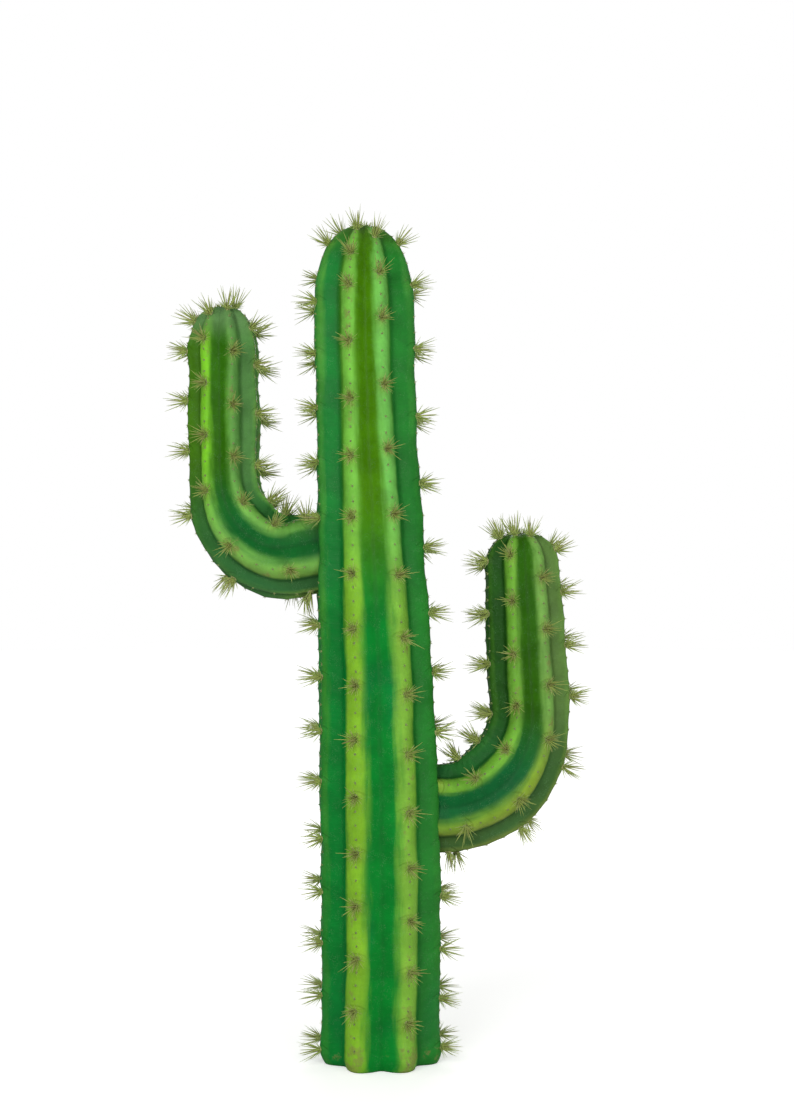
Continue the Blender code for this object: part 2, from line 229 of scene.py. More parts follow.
@dataclass(kw_only=True)
class Limb:
    """A ribbed stem round a centreline, closed by a dome at its tip.

    Up to the shoulder a station follows the centreline, and beyond it the dome's outline. The
    courses are, along the centreline: the crest's radius, how many degrees the ribs are turned, how
    many radians the front and back grooves are opened, and the depth as a share of the width.
    """

    name: str
    dome_height: float
    dome_fullness: float
    crowns: dict[int, float]
    nodes: tuple[str, ...]
    skin_start: float
    seed: int
    ribs: RibShape = field(default_factory=RibShape)
    relief: SkinRelief = field(default_factory=SkinRelief)
    rule: AreoleRule = field(default_factory=AreoleRule)
    rows: int = 400
    columns_per_rib: int = 24
    dome_samples: int = 200
    depth_step: float = 0.01
    radius_course: Course = field(init=False)
    turn_course: Course = field(init=False)
    spread_course: Course = field(init=False)
    depth_course: Course = field(init=False, default=Course((0.0, 1.0), (1.0, 1.0)))

    def shape_dome(self, length: float) -> None:
        """Measures the dome: its width follows (1 - rise^2)^(1 / fullness).

        Args:
            length: the limb's whole length along its centreline.
        """
        self.shoulder = length - self.dome_height
        self.dome_rise = np.linspace(0.0, 1.0, self.dome_samples)
        self.dome_width = (1.0 - self.dome_rise**2) ** (1.0 / self.dome_fullness)
        widths = self.stem_radius(np.array(self.shoulder)) * self.dome_width
        steps = np.hypot(np.diff(self.dome_rise * self.dome_height), np.diff(widths))
        self.dome_stations = self.shoulder + np.concatenate([[0.0], np.cumsum(steps)])
        self.tip_station = float(self.dome_stations[-1])

    @property
    def mirrored(self) -> bool:
        """Whether angles run clockwise round the limb, seen from its tip."""
        return False

    def stem_radius(self, along: Array) -> Array:
        """Crest radius of the stem at lengths along it."""
        return self.radius_course.at(along)

    def centre(self, along: Array) -> Array:
        """Points of the centreline."""
        raise NotImplementedError

    def outer(self, along: Array) -> Array:
        """The sideways direction that angles are counted towards, from the front."""
        raise NotImplementedError

    def cluster_rule(self, rib: int) -> Array:
        """Stations of one rib's clusters before they crowd together on the dome."""
        raise NotImplementedError

    def tip(self) -> tuple[Array, Array]:
        """The end of the centreline and the direction in which it points."""
        ends = self.centre(np.array([self.shoulder, self.shoulder + self.dome_height]))
        return ends[1], unit(ends[1] - ends[0])

    def profile(self, station: Array) -> tuple[Array, Array, Array]:
        """Where a station lies.

        Args:
            station: lengths along the limb's outline.

        Returns:
            The length along the centreline, the crest radius and the share of the dome's width.
        """
        rise = np.interp(station, self.dome_stations, self.dome_rise, left=0.0)
        width = np.interp(station, self.dome_stations, self.dome_width, left=1.0)
        along = np.minimum(station, self.shoulder) + rise * self.dome_height
        radius = self.stem_radius(np.minimum(station, self.shoulder)) * width
        return along, radius, width

    def angle(self, rib: Array, phase: Array, along: Array) -> Array:
        """Angle from the front towards the outer side, with the crest's slow swing.

        Args:
            rib: whole numbers of ribs from the front groove.
            phase: share of a rib from its crest.
            along: lengths along the centreline.

        Returns:
            The angles in radians.
        """
        even = (rib + 0.5 + phase) * math.tau / RIBS
        turn = np.radians(self.turn_course.at(along))
        spread = self.spread_course.at(along) * np.sin(2.0 * even)
        return even + turn + spread + self.relief.crest_swing.at(along, self.seed)

    def bumps(self, rib: Array, phase: Array, station: Array) -> Array:
        """Height of the skin's relief above the even form.

        Each areole stands on a swelling, a Gaussian along and across the crest. Each rib, and the
        limb as a whole, swells and shrinks slowly along its length, and shallow creases run down
        from the crest into the grooves on both sides.

        Args:
            rib: whole numbers of ribs from the front groove.
            phase: share of a rib from its crest.
            station: lengths along the outline, broadcast against the others.

        Returns:
            Heights in metres along the spoke from the centreline.
        """
        shape = self.relief
        number = np.mod(rib + np.round(phase), RIBS).astype(int)
        offset = phase - np.round(phase)
        heights = sum(self.hills(hill, number, offset, station) for hill in shape.swellings)
        for one in range(RIBS):
            wander = shape.rib_wander.at(station, self.seed + one)
            heights = heights + (number == one) * wander * np.cos(math.pi * offset) ** 2
        heights = heights + shape.ring_wander.at(station, self.seed)
        slanted = station + 2.0 * shape.crease_slant * np.abs(offset)
        drift = shape.crease_wander.at(station, self.seed) + shape.crease_step * number
        creases = np.sin(math.tau * slanted / shape.crease_spacing + drift)
        heights = heights + shape.crease_height * creases * np.sin(math.tau * np.abs(offset)) ** 2
        return heights * self.profile(station)[2]

    def hills(self, hill: Hill, number: Array, offset: Array, station: Array) -> Array:
        """How high points of the skin lie on the hills round its areoles.

        Args:
            hill: the shape of each.
            number: the points' ribs.
            offset: their shares of a rib from its crest.
            station: their lengths along the outline.

        Returns:
            The heights, in the unit of the hill's.
        """
        heights = sum(
            (number == one) * (hill.height * nearness(station, places, hill.length))
            for one, places in enumerate(self.areoles[hill.rank])
        )
        return heights * np.exp(-((offset / hill.width) ** 2))

    def above_areole(self, number: Array, station: Array) -> Array:
        """How far stations lie above the nearest main areole below them on their rib.

        Args:
            number: their ribs' numbers.
            station: lengths along the outline.

        Returns:
            The distances, held at far_above below the first areole and high in a wide gap.
        """
        far = self.relief.far_above
        above = np.full(np.broadcast(number, station).shape, far)
        for one, places in enumerate(self.areoles[ClusterRank.MAIN]):
            steps = station[..., None] - places
            steps = np.where(steps < 0.0, far, steps).min(axis=-1)
            above = np.where(number == one, steps, above)
        return above

    def surface(self, rib: Array, phase: Array, station: Array) -> Array:
        """Points of the skin.

        Args:
            rib: whole numbers of ribs from the front groove.
            phase: share of a rib from its crest.
            station: lengths along the outline, broadcast against the others.

        Returns:
            Points with x, y and z on the last axis.
        """
        rib, phase, station = np.broadcast_arrays(rib, phase, station)
        along, radius, _ = self.profile(station)
        reach = radius * (1.0 - self.ribs.groove_depth * self.ribs.fall(phase))
        reach = reach + self.bumps(rib, phase, station)
        angle = self.angle(rib, phase, along)[..., None]
        front = self.depth_course.at(along)[..., None] * FRONT
        spoke = np.cos(angle) * front + np.sin(angle) * self.outer(along)
        return self.centre(along) + reach[..., None] * spoke

    def seat(self, rib: int, station: float) -> Seat:
        """Where an areole sits.

        Args:
            rib: the rib's number.
            station: the areole's station.

        Returns:
            Its place on the crest, squared to the crest's own slope there.
        """
        step = 0.006
        stations = np.array([station - step, station, station + step])
        before, point, after = self.surface(np.array(rib), np.array(0.0), stations)
        along = unit(after - before)
        spoke = point - self.centre(self.profile(np.array(station))[0])
        return Seat(point, unit(spoke - spoke.dot(along) * along), along)

    def crowd(self, rib: int, stations: Array) -> Array:
        """Draws one rib's clusters together on the dome, and gives some ribs a crown cluster.

        Args:
            rib: the rib's number.
            stations: the clusters' stations by the cluster rule.

        Returns:
            Their stations along the outline.
        """
        beyond = np.maximum(0.0, stations - self.shoulder)
        stations = np.minimum(stations, self.shoulder) + self.rule.crowding * beyond
        if rib in self.crowns:
            crown = np.interp(-self.crowns[rib], -self.dome_width, self.dome_stations)
            stations = np.append(stations[stations < crown - self.rule.crown_clearance], crown)
        return stations

    def place_areoles(self) -> None:
        """Sets the areoles: the main ones by the solids' seeded rule, small ones between them.

        Each main areole keeps the random turns that its spines take from the same seed.
        """
        rule = self.rule
        rng = np.random.default_rng(self.seed)
        self.areoles: dict[ClusterRank, list[Array]] = {rank: [] for rank in ClusterRank}
        self.turns: list[list[Array]] = []
        for rib in range(RIBS):
            kept = []
            for station in self.crowd(rib, self.cluster_rule(rib)):
                stray, *turn = rng.normal(size=7)
                station += rule.stray * float(np.clip(stray, -rule.most_stray, rule.most_stray))
                inside = 0.0 < station < self.tip_station
                if inside and self.profile(np.array(station))[2] >= rule.least_width:
                    kept.append((station, np.array(turn)))
            kept.sort(key=lambda areole: areole[0])
            main = np.array([station for station, _ in kept])
            self.turns.append([turn for _, turn in kept])
            self.areoles[ClusterRank.MAIN].append(main)
            self.areoles[ClusterRank.SMALL].append(self.between(main))

    def between(self, main: Array) -> Array:
        """Stations of one rib's small areoles.

        Args:
            main: its main areoles' stations.

        Returns:
            Even shares of each gap between them, before the first and up to the tip.
        """
        rule = self.rule
        ends = np.concatenate([[main[0] - rule.first_gap], main, [self.tip_station - rule.tip_gap]])
        small = (ends[:-1, None] + np.diff(ends)[:, None] * np.array(rule.small_shares)).ravel()
        return small[small > self.skin_start + rule.root_gap]

    def depth_samples(self) -> tuple[Array, Array]:
        """Centres and crest radii along the limb, for measuring how far a point stands off it."""
        along, radius, _ = self.profile(np.arange(0.0, self.tip_station, self.depth_step))
        return self.centre(along), radius


@dataclass(kw_only=True)
class Trunk(Limb):
    """The upright stem, on level rings from a flat cut at the ground."""

    height: float = 3.20
    radius_course: Course = Course((0.66, 2.56), (0.238, 0.208))
    turn_course: Course = Course((0.0, 1.5, 2.9), (1.3, 5.5, 2.5))
    spread_course: Course = Course((1.3, 2.9), (0.05, -0.15))
    lean: tuple[float, float, float] = (-0.067, 0.020, 0.0)
    lean_course: Course = Course((0.46, 3.16), (0.0, 1.0))
    foot_rounding: Range = (0.045, 0.06)
    phases: tuple[float, ...] = (0.65, 0.0, 0.0, 0.35, 0.65, 0.0, 0.0, 0.85)
    spacing_left: tuple[float, float, float] = (0.058, 0.2015, 0.0)
    spacing_right: tuple[float, float, float] = (0.066, 0.177, 0.00738)
    cluster_count: int = 20

    def __post_init__(self) -> None:
        """Shapes the dome and sets the areoles."""
        self.shape_dome(self.height)
        self.place_areoles()

    def stem_radius(self, along: Array) -> Array:
        """The course's radius, drawn in a little at the cut.

        Args:
            along: heights above the ground.

        Returns:
            The crest radii there.
        """
        height, share = self.foot_rounding
        drawn_in = share * np.clip(1.0 - along / height, 0.0, 1.0) ** 2
        return self.radius_course.at(along) * (1.0 - drawn_in)

    @classmethod
    def centre(cls, along: Array) -> Array:
        """Points straight above each other, moved by the lean as its course has it.

        Args:
            along: heights above the ground.

        Returns:
            The points there.
        """
        along = np.asarray(along, dtype=float)
        share = cls.lean_course.at(along)
        return np.array(cls.lean) * share[..., None] + Z_AXIS * along[..., None]

    def outer(self, along: Array) -> Array:
        """Towards +X at every height."""
        return np.broadcast_to(X_AXIS, (*np.shape(along), 3))

    def cluster_rule(self, rib: int) -> Array:
        """First height + spacing * n + growth * n^2 / 2, blended from the left to the right.

        Args:
            rib: the rib's number.

        Returns:
            The stations.
        """
        even = (rib + 0.5) * math.tau / RIBS
        turn, spread = self.turn_course.values[0], self.spread_course.values[0]
        angle = even + math.radians(turn) + spread * math.sin(2.0 * even)
        toward_right = (1.0 + math.sin(angle)) / 2.0
        first, step, growth = (
            left + (right - left) * toward_right
            for left, right in zip(self.spacing_left, self.spacing_right)
        )
        numbers = np.arange(self.cluster_count) + self.phases[rib]
        return first + step * numbers + growth * numbers**2 / 2.0


@dataclass(kw_only=True)
class Arm(Limb):
    """A side stem: a straight root out of the trunk's axis, a bend and an upright.

    The bend's heading follows 1 - (1 - t)^power, with t the share of its length. The arm stands a
    little behind the trunk's axis, and its neck is flatter from front to back.
    """

    side: int
    root_height: float
    root_slope: float
    bend_start: float
    bend_length: float
    bend_power: float
    upright_lean: float
    top_height: float
    radii: tuple[float, float, float, float]
    neck_depth: float
    rib_turns: Range
    root_spread: float
    top_cluster_drop: float
    dome_fullness: float = 2.6
    skin_start: float = 0.12
    rows: int = 260
    columns_per_rib: int = 22
    first_radius_at: float = 0.20
    set_back: float = 0.035
    neck_stations: Range = (0.18, 0.46)
    spacing: float = 0.200
    phases: tuple[float, ...] = (0.25, -0.05, 0.05, 0.30, 0.80, 0.57, 0.65, 0.85)
    cluster_numbers: tuple[int, int] = (-8, 4)
    trace_points: int = 600

    def __post_init__(self) -> None:
        """Traces the centreline, shapes the dome and sets the areoles."""
        self.slope = math.radians(self.root_slope)
        self.turn = math.radians(90.0 + self.upright_lean) - self.slope
        self.root_length = self.bend_start / math.cos(self.slope)
        bend_end = self.root_length + self.bend_length
        root = Trunk.centre(np.array(self.root_height)) - self.set_back * FRONT
        longest = bend_end + self.top_height - root[2]
        self.traced_lengths, step = np.linspace(0.0, longest, self.trace_points, retstep=True)
        headings = self.heading(self.traced_lengths[:-1] + step / 2.0)[:, None]
        steps = step * (X_AXIS * self.side * np.cos(headings) + Z_AXIS * np.sin(headings))
        self.traced = root + np.concatenate([np.zeros((1, 3)), np.cumsum(steps, axis=0)])
        length = float(np.interp(self.top_height, self.traced[:, 2], self.traced_lengths))
        middle = self.root_length + self.bend_length / 2.0
        ends = (self.first_radius_at, middle, bend_end, length - self.dome_height)
        self.radius_course = Course(ends, self.radii)
        self.turn_course = Course((0.0, bend_end), self.rib_turns)
        self.spread_course = Course((0.0, bend_end), (self.root_spread, 0.0))
        self.depth_course = Course(self.neck_stations, (self.neck_depth, 1.0))
        self.top_cluster = length - self.top_cluster_drop
        self.shape_dome(length)
        self.place_areoles()

    @property
    def mirrored(self) -> bool:
        """True on the left, where the outer side is towards -X."""
        return self.side < 0

    def heading(self, along: Array) -> Array:
        """Angle of the centreline above the level, in radians."""
        share = np.clip((along - self.root_length) / self.bend_length, 0.0, 1.0)
        return self.slope + self.turn * (1.0 - (1.0 - share) ** self.bend_power)

    def centre(self, along: Array) -> Array:
        """The traced centreline, read between its steps."""
        columns = [np.interp(along, self.traced_lengths, column) for column in self.traced.T]
        return np.stack(columns, axis=-1)

    def outer(self, along: Array) -> Array:
        """Square to the centreline, away from the inside of the bend."""
        heading = np.asarray(self.heading(along))[..., None]
        return X_AXIS * self.side * np.sin(heading) - Z_AXIS * np.cos(heading)

    def cluster_rule(self, rib: int) -> Array:
        """Even steps down from the top, raised by the rib's phase."""
        numbers = np.arange(*self.cluster_numbers) + self.phases[rib]
        return self.top_cluster + self.spacing * numbers


@dataclass
class Grid:
    """A mesh in the making: points, faces as rows of corner numbers, and values on the points."""

    points: Array
    quads: Array
    triangles: Array
    values: dict[str, Array] = field(default_factory=dict)

    def make(self, name: str) -> bpy.types.Object:
        """Puts the arrays into a mesh object with smooth faces.

        Args:
            name: the piece's name.

        Returns:
            The linked object, at the origin.
        """
        mesh = bpy.data.meshes.new(name)
        corners = np.concatenate([self.quads.ravel(), self.triangles.ravel()])
        sizes = np.concatenate([np.full(len(self.quads), 4), np.full(len(self.triangles), 3)])
        starts = np.concatenate([[0], np.cumsum(sizes)[:-1]])
        mesh.vertices.add(len(self.points))
        mesh.vertices.foreach_set("co", self.points.astype(np.float32).ravel())
        mesh.loops.add(len(corners))
        mesh.loops.foreach_set("vertex_index", corners.astype(np.int32))
        mesh.polygons.add(len(sizes))
        mesh.polygons.foreach_set("loop_start", starts.astype(np.int32))
        mesh.update(calc_edges=True)
        for key, data in self.values.items():
            kind, field_name = ("FLOAT_VECTOR", "vector") if data.ndim == 2 else ("FLOAT", "value")
            layer = mesh.attributes.new(key, kind, "POINT")
            layer.data.foreach_set(field_name, data.astype(np.float32).ravel())
        mesh.shade_smooth()
        piece = bpy.data.objects.new(name, mesh)
        bpy.context.scene.collection.objects.link(piece)
        return piece


def tube_faces(rows: int, columns: int) -> Array:
    """Quads of a tube whose columns close on themselves.

    Args:
        rows: rings along the tube.
        columns: points round each ring.

    Returns:
        Corner numbers, four to a row, facing out where rings run up and columns run anticlockwise.
    """
    row, column = np.meshgrid(np.arange(rows - 1), np.arange(columns), indexing="ij")
    after = (column + 1) % columns
    low, high = row * columns, (row + 1) * columns
    corners = [low + column, low + after, high + after, high + column]
    return np.stack(corners, axis=-1).reshape(-1, 4)


def end_fans(rows: int, columns: int, foot: int, tip: int) -> Array:
    """Triangles that close both ends of a tube at a point.

    Args:
        rows: rings along the tube.
        columns: points round each ring.
        foot: number of the point that closes the first ring.
        tip: number of the point that closes the last ring.

    Returns:
        Corner numbers, three to a row, facing out as the tube's faces do.
    """
    around = np.arange(columns)
    after = (around + 1) % columns
    last = (rows - 1) * columns
    foot_fan = np.stack([np.full(columns, foot), after, around], axis=-1)
    tip_fan = np.stack([last + around, last + after, np.full(columns, tip)], axis=-1)
    return np.concatenate([foot_fan, tip_fan])


def joined_tubes(rings: Array, feet: Array, tips: Array) -> Grid:
    """Joins many tubes into one mesh, each closed at a point at both ends.

    Args:
        rings: points by tube, ring and place round the ring.
        feet: the point that closes each tube's first ring.
        tips: the point that closes its last ring.

    Returns:
        The mesh.
    """
    count, rows, columns = rings.shape[:3]
    points = np.concatenate([rings.reshape(count, -1, 3), feet[:, None], tips[:, None]], axis=1)
    size = points.shape[1]
    offset = size * np.arange(count)[:, None, None]
    quads = (offset + tube_faces(rows, columns)).reshape(-1, 4)
    fans = (offset + end_fans(rows, columns, foot=size - 2, tip=size - 1)).reshape(-1, 3)
    return Grid(points.reshape(-1, 3), quads, fans)


@dataclass
class Skin:
    """The living skin of one limb, with the relief of its ribs and areoles."""

    limb: Limb
    crowding: float = 0.08
    tip_gap: float = 0.004
    cap_shares: tuple[float, ...] = (0.35, 0.7, 0.96)
    dimple_depth: float = 0.011
    dimple_radius: float = 0.045
    band_shift: float = 0.09

    def stations(self) -> Array:
        """Spaces the mesh's rows up the limb.

        Returns:
            The rows' stations, closer together towards the tip.
        """
        limb = self.limb
        share = np.linspace(0.0, 1.0, limb.rows)
        share = share + self.crowding * np.sin(math.pi * share) ** 2 * share
        return limb.skin_start + share * (limb.tip_station - self.tip_gap - limb.skin_start)

    def build(self) -> bpy.types.Object:
        """Makes the closed skin mesh.

        The grid has one row a station and an even number of columns a rib. Its root is closed by
        rings that shrink to the centre, and its tip by a fan round a slight hollow.

        Returns:
            The skin, carrying where each point lies on the limb.
        """
        limb = self.limb
        columns = RIBS * limb.columns_per_rib
        stations = self.stations()
        turn = np.arange(columns) / limb.columns_per_rib - 0.5
        rib = np.floor(turn + 0.5)
        rings = limb.surface(rib[None, :], (turn - rib)[None, :], stations[:, None])
        along, radius, _ = limb.profile(stations)
        tip, direction = limb.tip()
        rings = rings - self.hollow(radius)[:, None, None] * direction
        tip = tip - self.hollow(np.zeros(1)) * direction
        root = limb.centre(along[:1])
        caps = [root + share * (rings[0] - root) for share in self.cap_shares]
        points = np.concatenate([root, *caps, rings.reshape(-1, 3), tip[None]])
        rows = limb.rows + len(caps)
        quads = 1 + tube_faces(rows, columns)
        fans = 1 + end_fans(rows, columns, foot=-1, tip=rows * columns)
        if limb.mirrored:
            quads, fans = quads[:, ::-1], fans[:, ::-1]
        values = self.place_values(stations, turn)
        return Grid(points, quads, fans, values).make(f"{limb.name}_skin")

    def hollow(self, radius: Array) -> Array:
        """Depth of the hollow round the growing point: (1 - (r / R)^2)^2 inside its radius."""
        share = np.clip(1.0 - (radius / self.dimple_radius) ** 2, 0.0, 1.0)
        return self.dimple_depth * share**2

    def place_values(self, stations: Array, turn: Array) -> dict[str, Array]:
        """What the skin's finish reads at each point.

        Args:
            stations: the rows' stations.
            turn: the columns' places, in ribs.

        Returns:
            crest, 1 on a crest and 0 in a groove; band, the same but drawn away from the front
            and back grooves; facing, 1 at the front and the back and 0 at the sides; aside, -1 at
            the left and 1 at the right; under, 1 on an underside; rise, the share of the limb's
            length; areole, 1 at a main areole; above, the metres above one; unrolled, the point
            on the limb as if it were straight.
        """
        limb = self.limb
        along, radius, _ = limb.profile(stations)
        rib = np.floor(turn + 0.5)[None, :]
        number, phase = np.mod(rib, RIBS), turn - rib
        angle = limb.angle(rib, phase, along[:, None])
        outer = limb.outer(along)[:, None]
        even = np.broadcast_to((turn + 0.5) * math.tau / RIBS, angle.shape)
        drawn = phase - self.band_shift * np.sin(2.0 * even)
        level, width = stations[:, None], radius[:, None]
        height = np.broadcast_to(level, angle.shape)
        rows = {
            "crest": np.broadcast_to(1.0 - 2.0 * np.abs(phase), angle.shape),
            "band": 1.0 - 2.0 * np.abs(drawn - np.round(drawn)),
            "facing": 0.5 + 0.5 * np.cos(2.0 * angle),
            "aside": np.sin(angle) * outer[..., 0],
            "under": np.clip(-np.sin(angle) * outer[..., 2], 0.0, 1.0),
            "rise": height / limb.tip_station,
            "areole": np.clip(limb.hills(limb.relief.glow, number, phase, level), 0.0, 1.0),
            "above": limb.above_areole(number, level),
            "unrolled": np.stack([width * np.cos(even), width * np.sin(even), height], axis=-1),
        }
        return {key: self.on_points(value) for key, value in rows.items()}

    def on_points(self, rows: Array) -> Array:
        """Carries values from the rows to all the mesh's points.

        Args:
            rows: values by row and column.

        Returns:
            One value a point: the first row's for the caps too, and one each for root and tip.
        """
        caps = np.repeat(rows[:1], len(self.cap_shares), axis=0)
        flat = np.concatenate([caps, rows]).reshape(-1, *rows.shape[2:])
        return np.concatenate([flat[:1], flat, flat[-1:]])


class SpineRole(Enum):
    """Which piece a spine is joined into."""

    LONG = "long_spines"
    MIDDLE = "middle_spines"
    INNER = "inner_spines"
    RADIAL = "radial_spines"
    BRISTLE = "bristles"


@dataclass(frozen=True)
class MainSpine:
    """A long spine of a cluster, as the solids have it.

    It leans by degrees towards the limb's tip, and its solid starts a depth below the crest.
    """

    role: SpineRole
    length: float
    radius: float
    lean: float
    depth: float


@dataclass(frozen=True)
class SpineFan:
    """A ring of shorter spines round a cluster, splayed from its normal by a mean angle.

    The strays are how far a spine departs from its even turn, its splay and its length. The curl
    is a share of its length.
    """

    role: SpineRole
    count: int
    length: float
    splay: float
    radius: float
    turn_stray: float = 0.25
    splay_stray: float = 8.0
    length_stray: float = 0.16
    length_limits: Range = (-1.5, 1.2)
    foot_reach: float = 0.005
    foot_depth: float = 0.001
    curl: float = 0.08


@dataclass(frozen=True)
class Bristles:
    """The fine short bristles of an areole. The curl is a share of a bristle's length."""

    length: float = 0.0085
    length_shares: Range = (0.7, 1.5)
    splays: Range = (8.0, 48.0)
    foot_reach: float = 0.0025
    radius: float = 0.0008
    curl: float = 0.05


class PadSize(NamedTuple):
    """The size of a felt pad."""

    half_length: float
    half_width: float
    height: float


@dataclass(frozen=True)
class GrowingPoint:
    """The woolly cushion and the short young spines in the hollow at a limb's tip.

    A young spine leans more the further away from the middle it stands.
    """

    depth: float = 0.009
    cushion: PadSize = PadSize(half_length=0.032, half_width=0.030, height=0.0085)
    count: int = 40
    length: float = 0.030
    length_shares: Range = (0.6, 1.0)
    radius: float = 0.0015
    away: Range = (0.003, 0.024)
    least_lean: float = 10.0
    lean_per_metre: float = 1500.0
    lift: float = 0.004
    curl: float = -0.1


MAIN_SPINES = (
    MainSpine(SpineRole.LONG, length=0.088, radius=0.0040, lean=4.0, depth=0.015),
    MainSpine(SpineRole.MIDDLE, length=0.064, radius=0.0032, lean=34.0, depth=0.012),
    MainSpine(SpineRole.MIDDLE, length=0.060, radius=0.0032, lean=-32.0, depth=0.013),
)
FANS = (
    SpineFan(SpineRole.INNER, count=11, length=0.076, splay=21.0, radius=0.0026),
    SpineFan(SpineRole.RADIAL, count=14, length=0.041, splay=56.0, radius=0.0017),
)
PAD_SIZES = {
    ClusterRank.MAIN: PadSize(half_length=0.0135, half_width=0.0105, height=0.0055),
    ClusterRank.SMALL: PadSize(half_length=0.0052, half_width=0.0040, height=0.0022),
}
BRISTLE_COUNTS = {ClusterRank.MAIN: 7, ClusterRank.SMALL: 3}


class Spine(NamedTuple):
    """One spine. Its bend is how far the tip is carried sideways, as a share of its length."""

    base: Array
    direction: Array
    bend: Array
    length: float
    radius: float


@dataclass
class SpineBatch:
    """Spines of one role on one limb, gathered until they are made into one mesh."""

    sides: int
    shares: tuple[float, ...]
    spines: list[Spine] = field(default_factory=list)
    point_power: float = 0.62
    foot_swell: float = 0.35
    foot_share: float = 0.06

    def grid(self) -> Grid:
        """All the spines as one mesh.

        The axis is base + length * (t * direction + t^2 * bend), and the radius is the base's
        times (1 - t)^0.62, a little fuller at the very base.

        Returns:
            The joined mesh of closed, pointed tubes.
        """
        bases, directions, bends, lengths, radii = (np.array(part) for part in zip(*self.spines))
        aside = unit(np.cross(directions, OFF_AXIS))
        other = np.cross(directions, aside)
        t = np.array(self.shares)
        axis = t[:, None] * directions[:, None] + (t**2)[:, None] * bends[:, None]
        axis = bases[:, None] + lengths[:, None, None] * axis
        swell = self.foot_swell * np.exp(-((t / self.foot_share) ** 2))
        thickness = radii[:, None] * ((1.0 - t) ** self.point_power + swell)
        turn = np.arange(self.sides)[:, None] * math.tau / self.sides
        spoke = np.cos(turn) * aside[:, None] + np.sin(turn) * other[:, None]
        rings = axis[:, :, None] + thickness[:, :, None, None] * spoke[:, None]
        tips = bases + lengths[:, None] * (directions + bends)
        return joined_tubes(rings, bases, tips)


@dataclass
class PadBatch:
    """Felt pads of one rank on one limb, gathered until they are made into one mesh."""

    rings: tuple[float, ...]
    sides: int
    pads: list[tuple[Seat, PadSize]] = field(default_factory=list)
    waver: float = 0.12
    rim_depth: float = 0.55
    foot_depth: float = 0.6

    def grid(self, seed: int) -> Grid:
        """All the pads as one mesh.

        A pad is an oval dome: at a share s of its half widths it stands at height * (1 - s^2), and
        its edge wavers by a seeded amount. Its rim is sunk below the crest.

        Args:
            seed: picks how the edges waver.

        Returns:
            The joined mesh of closed pads.
        """
        seats, sizes = zip(*self.pads)
        centres, normals, alongs = (np.array(part) for part in zip(*seats))
        normals = unit(normals)
        across = np.cross(normals, alongs)
        half_length, half_width, height = np.array(sizes).T[..., None, None]
        rng = np.random.default_rng(seed)
        turn = np.arange(self.sides) * math.tau / self.sides
        shares = np.array(self.rings)[:, None]
        spread = shares * (1.0 + self.waver * rng.normal(size=(len(centres), 1, self.sides)))
        rise = height * (1.0 - shares**2) - self.rim_depth * height * shares**6
        points = (
            centres[:, None, None]
            + (half_length * spread * np.cos(turn))[..., None] * alongs[:, None, None]
            + (half_width * spread * np.sin(turn))[..., None] * across[:, None, None]
            + rise[..., None] * normals[:, None, None]
        )
        tops = centres + height[:, 0] * normals
        feet = centres - self.foot_depth * height[:, 0] * normals
        return joined_tubes(points, feet, tops)


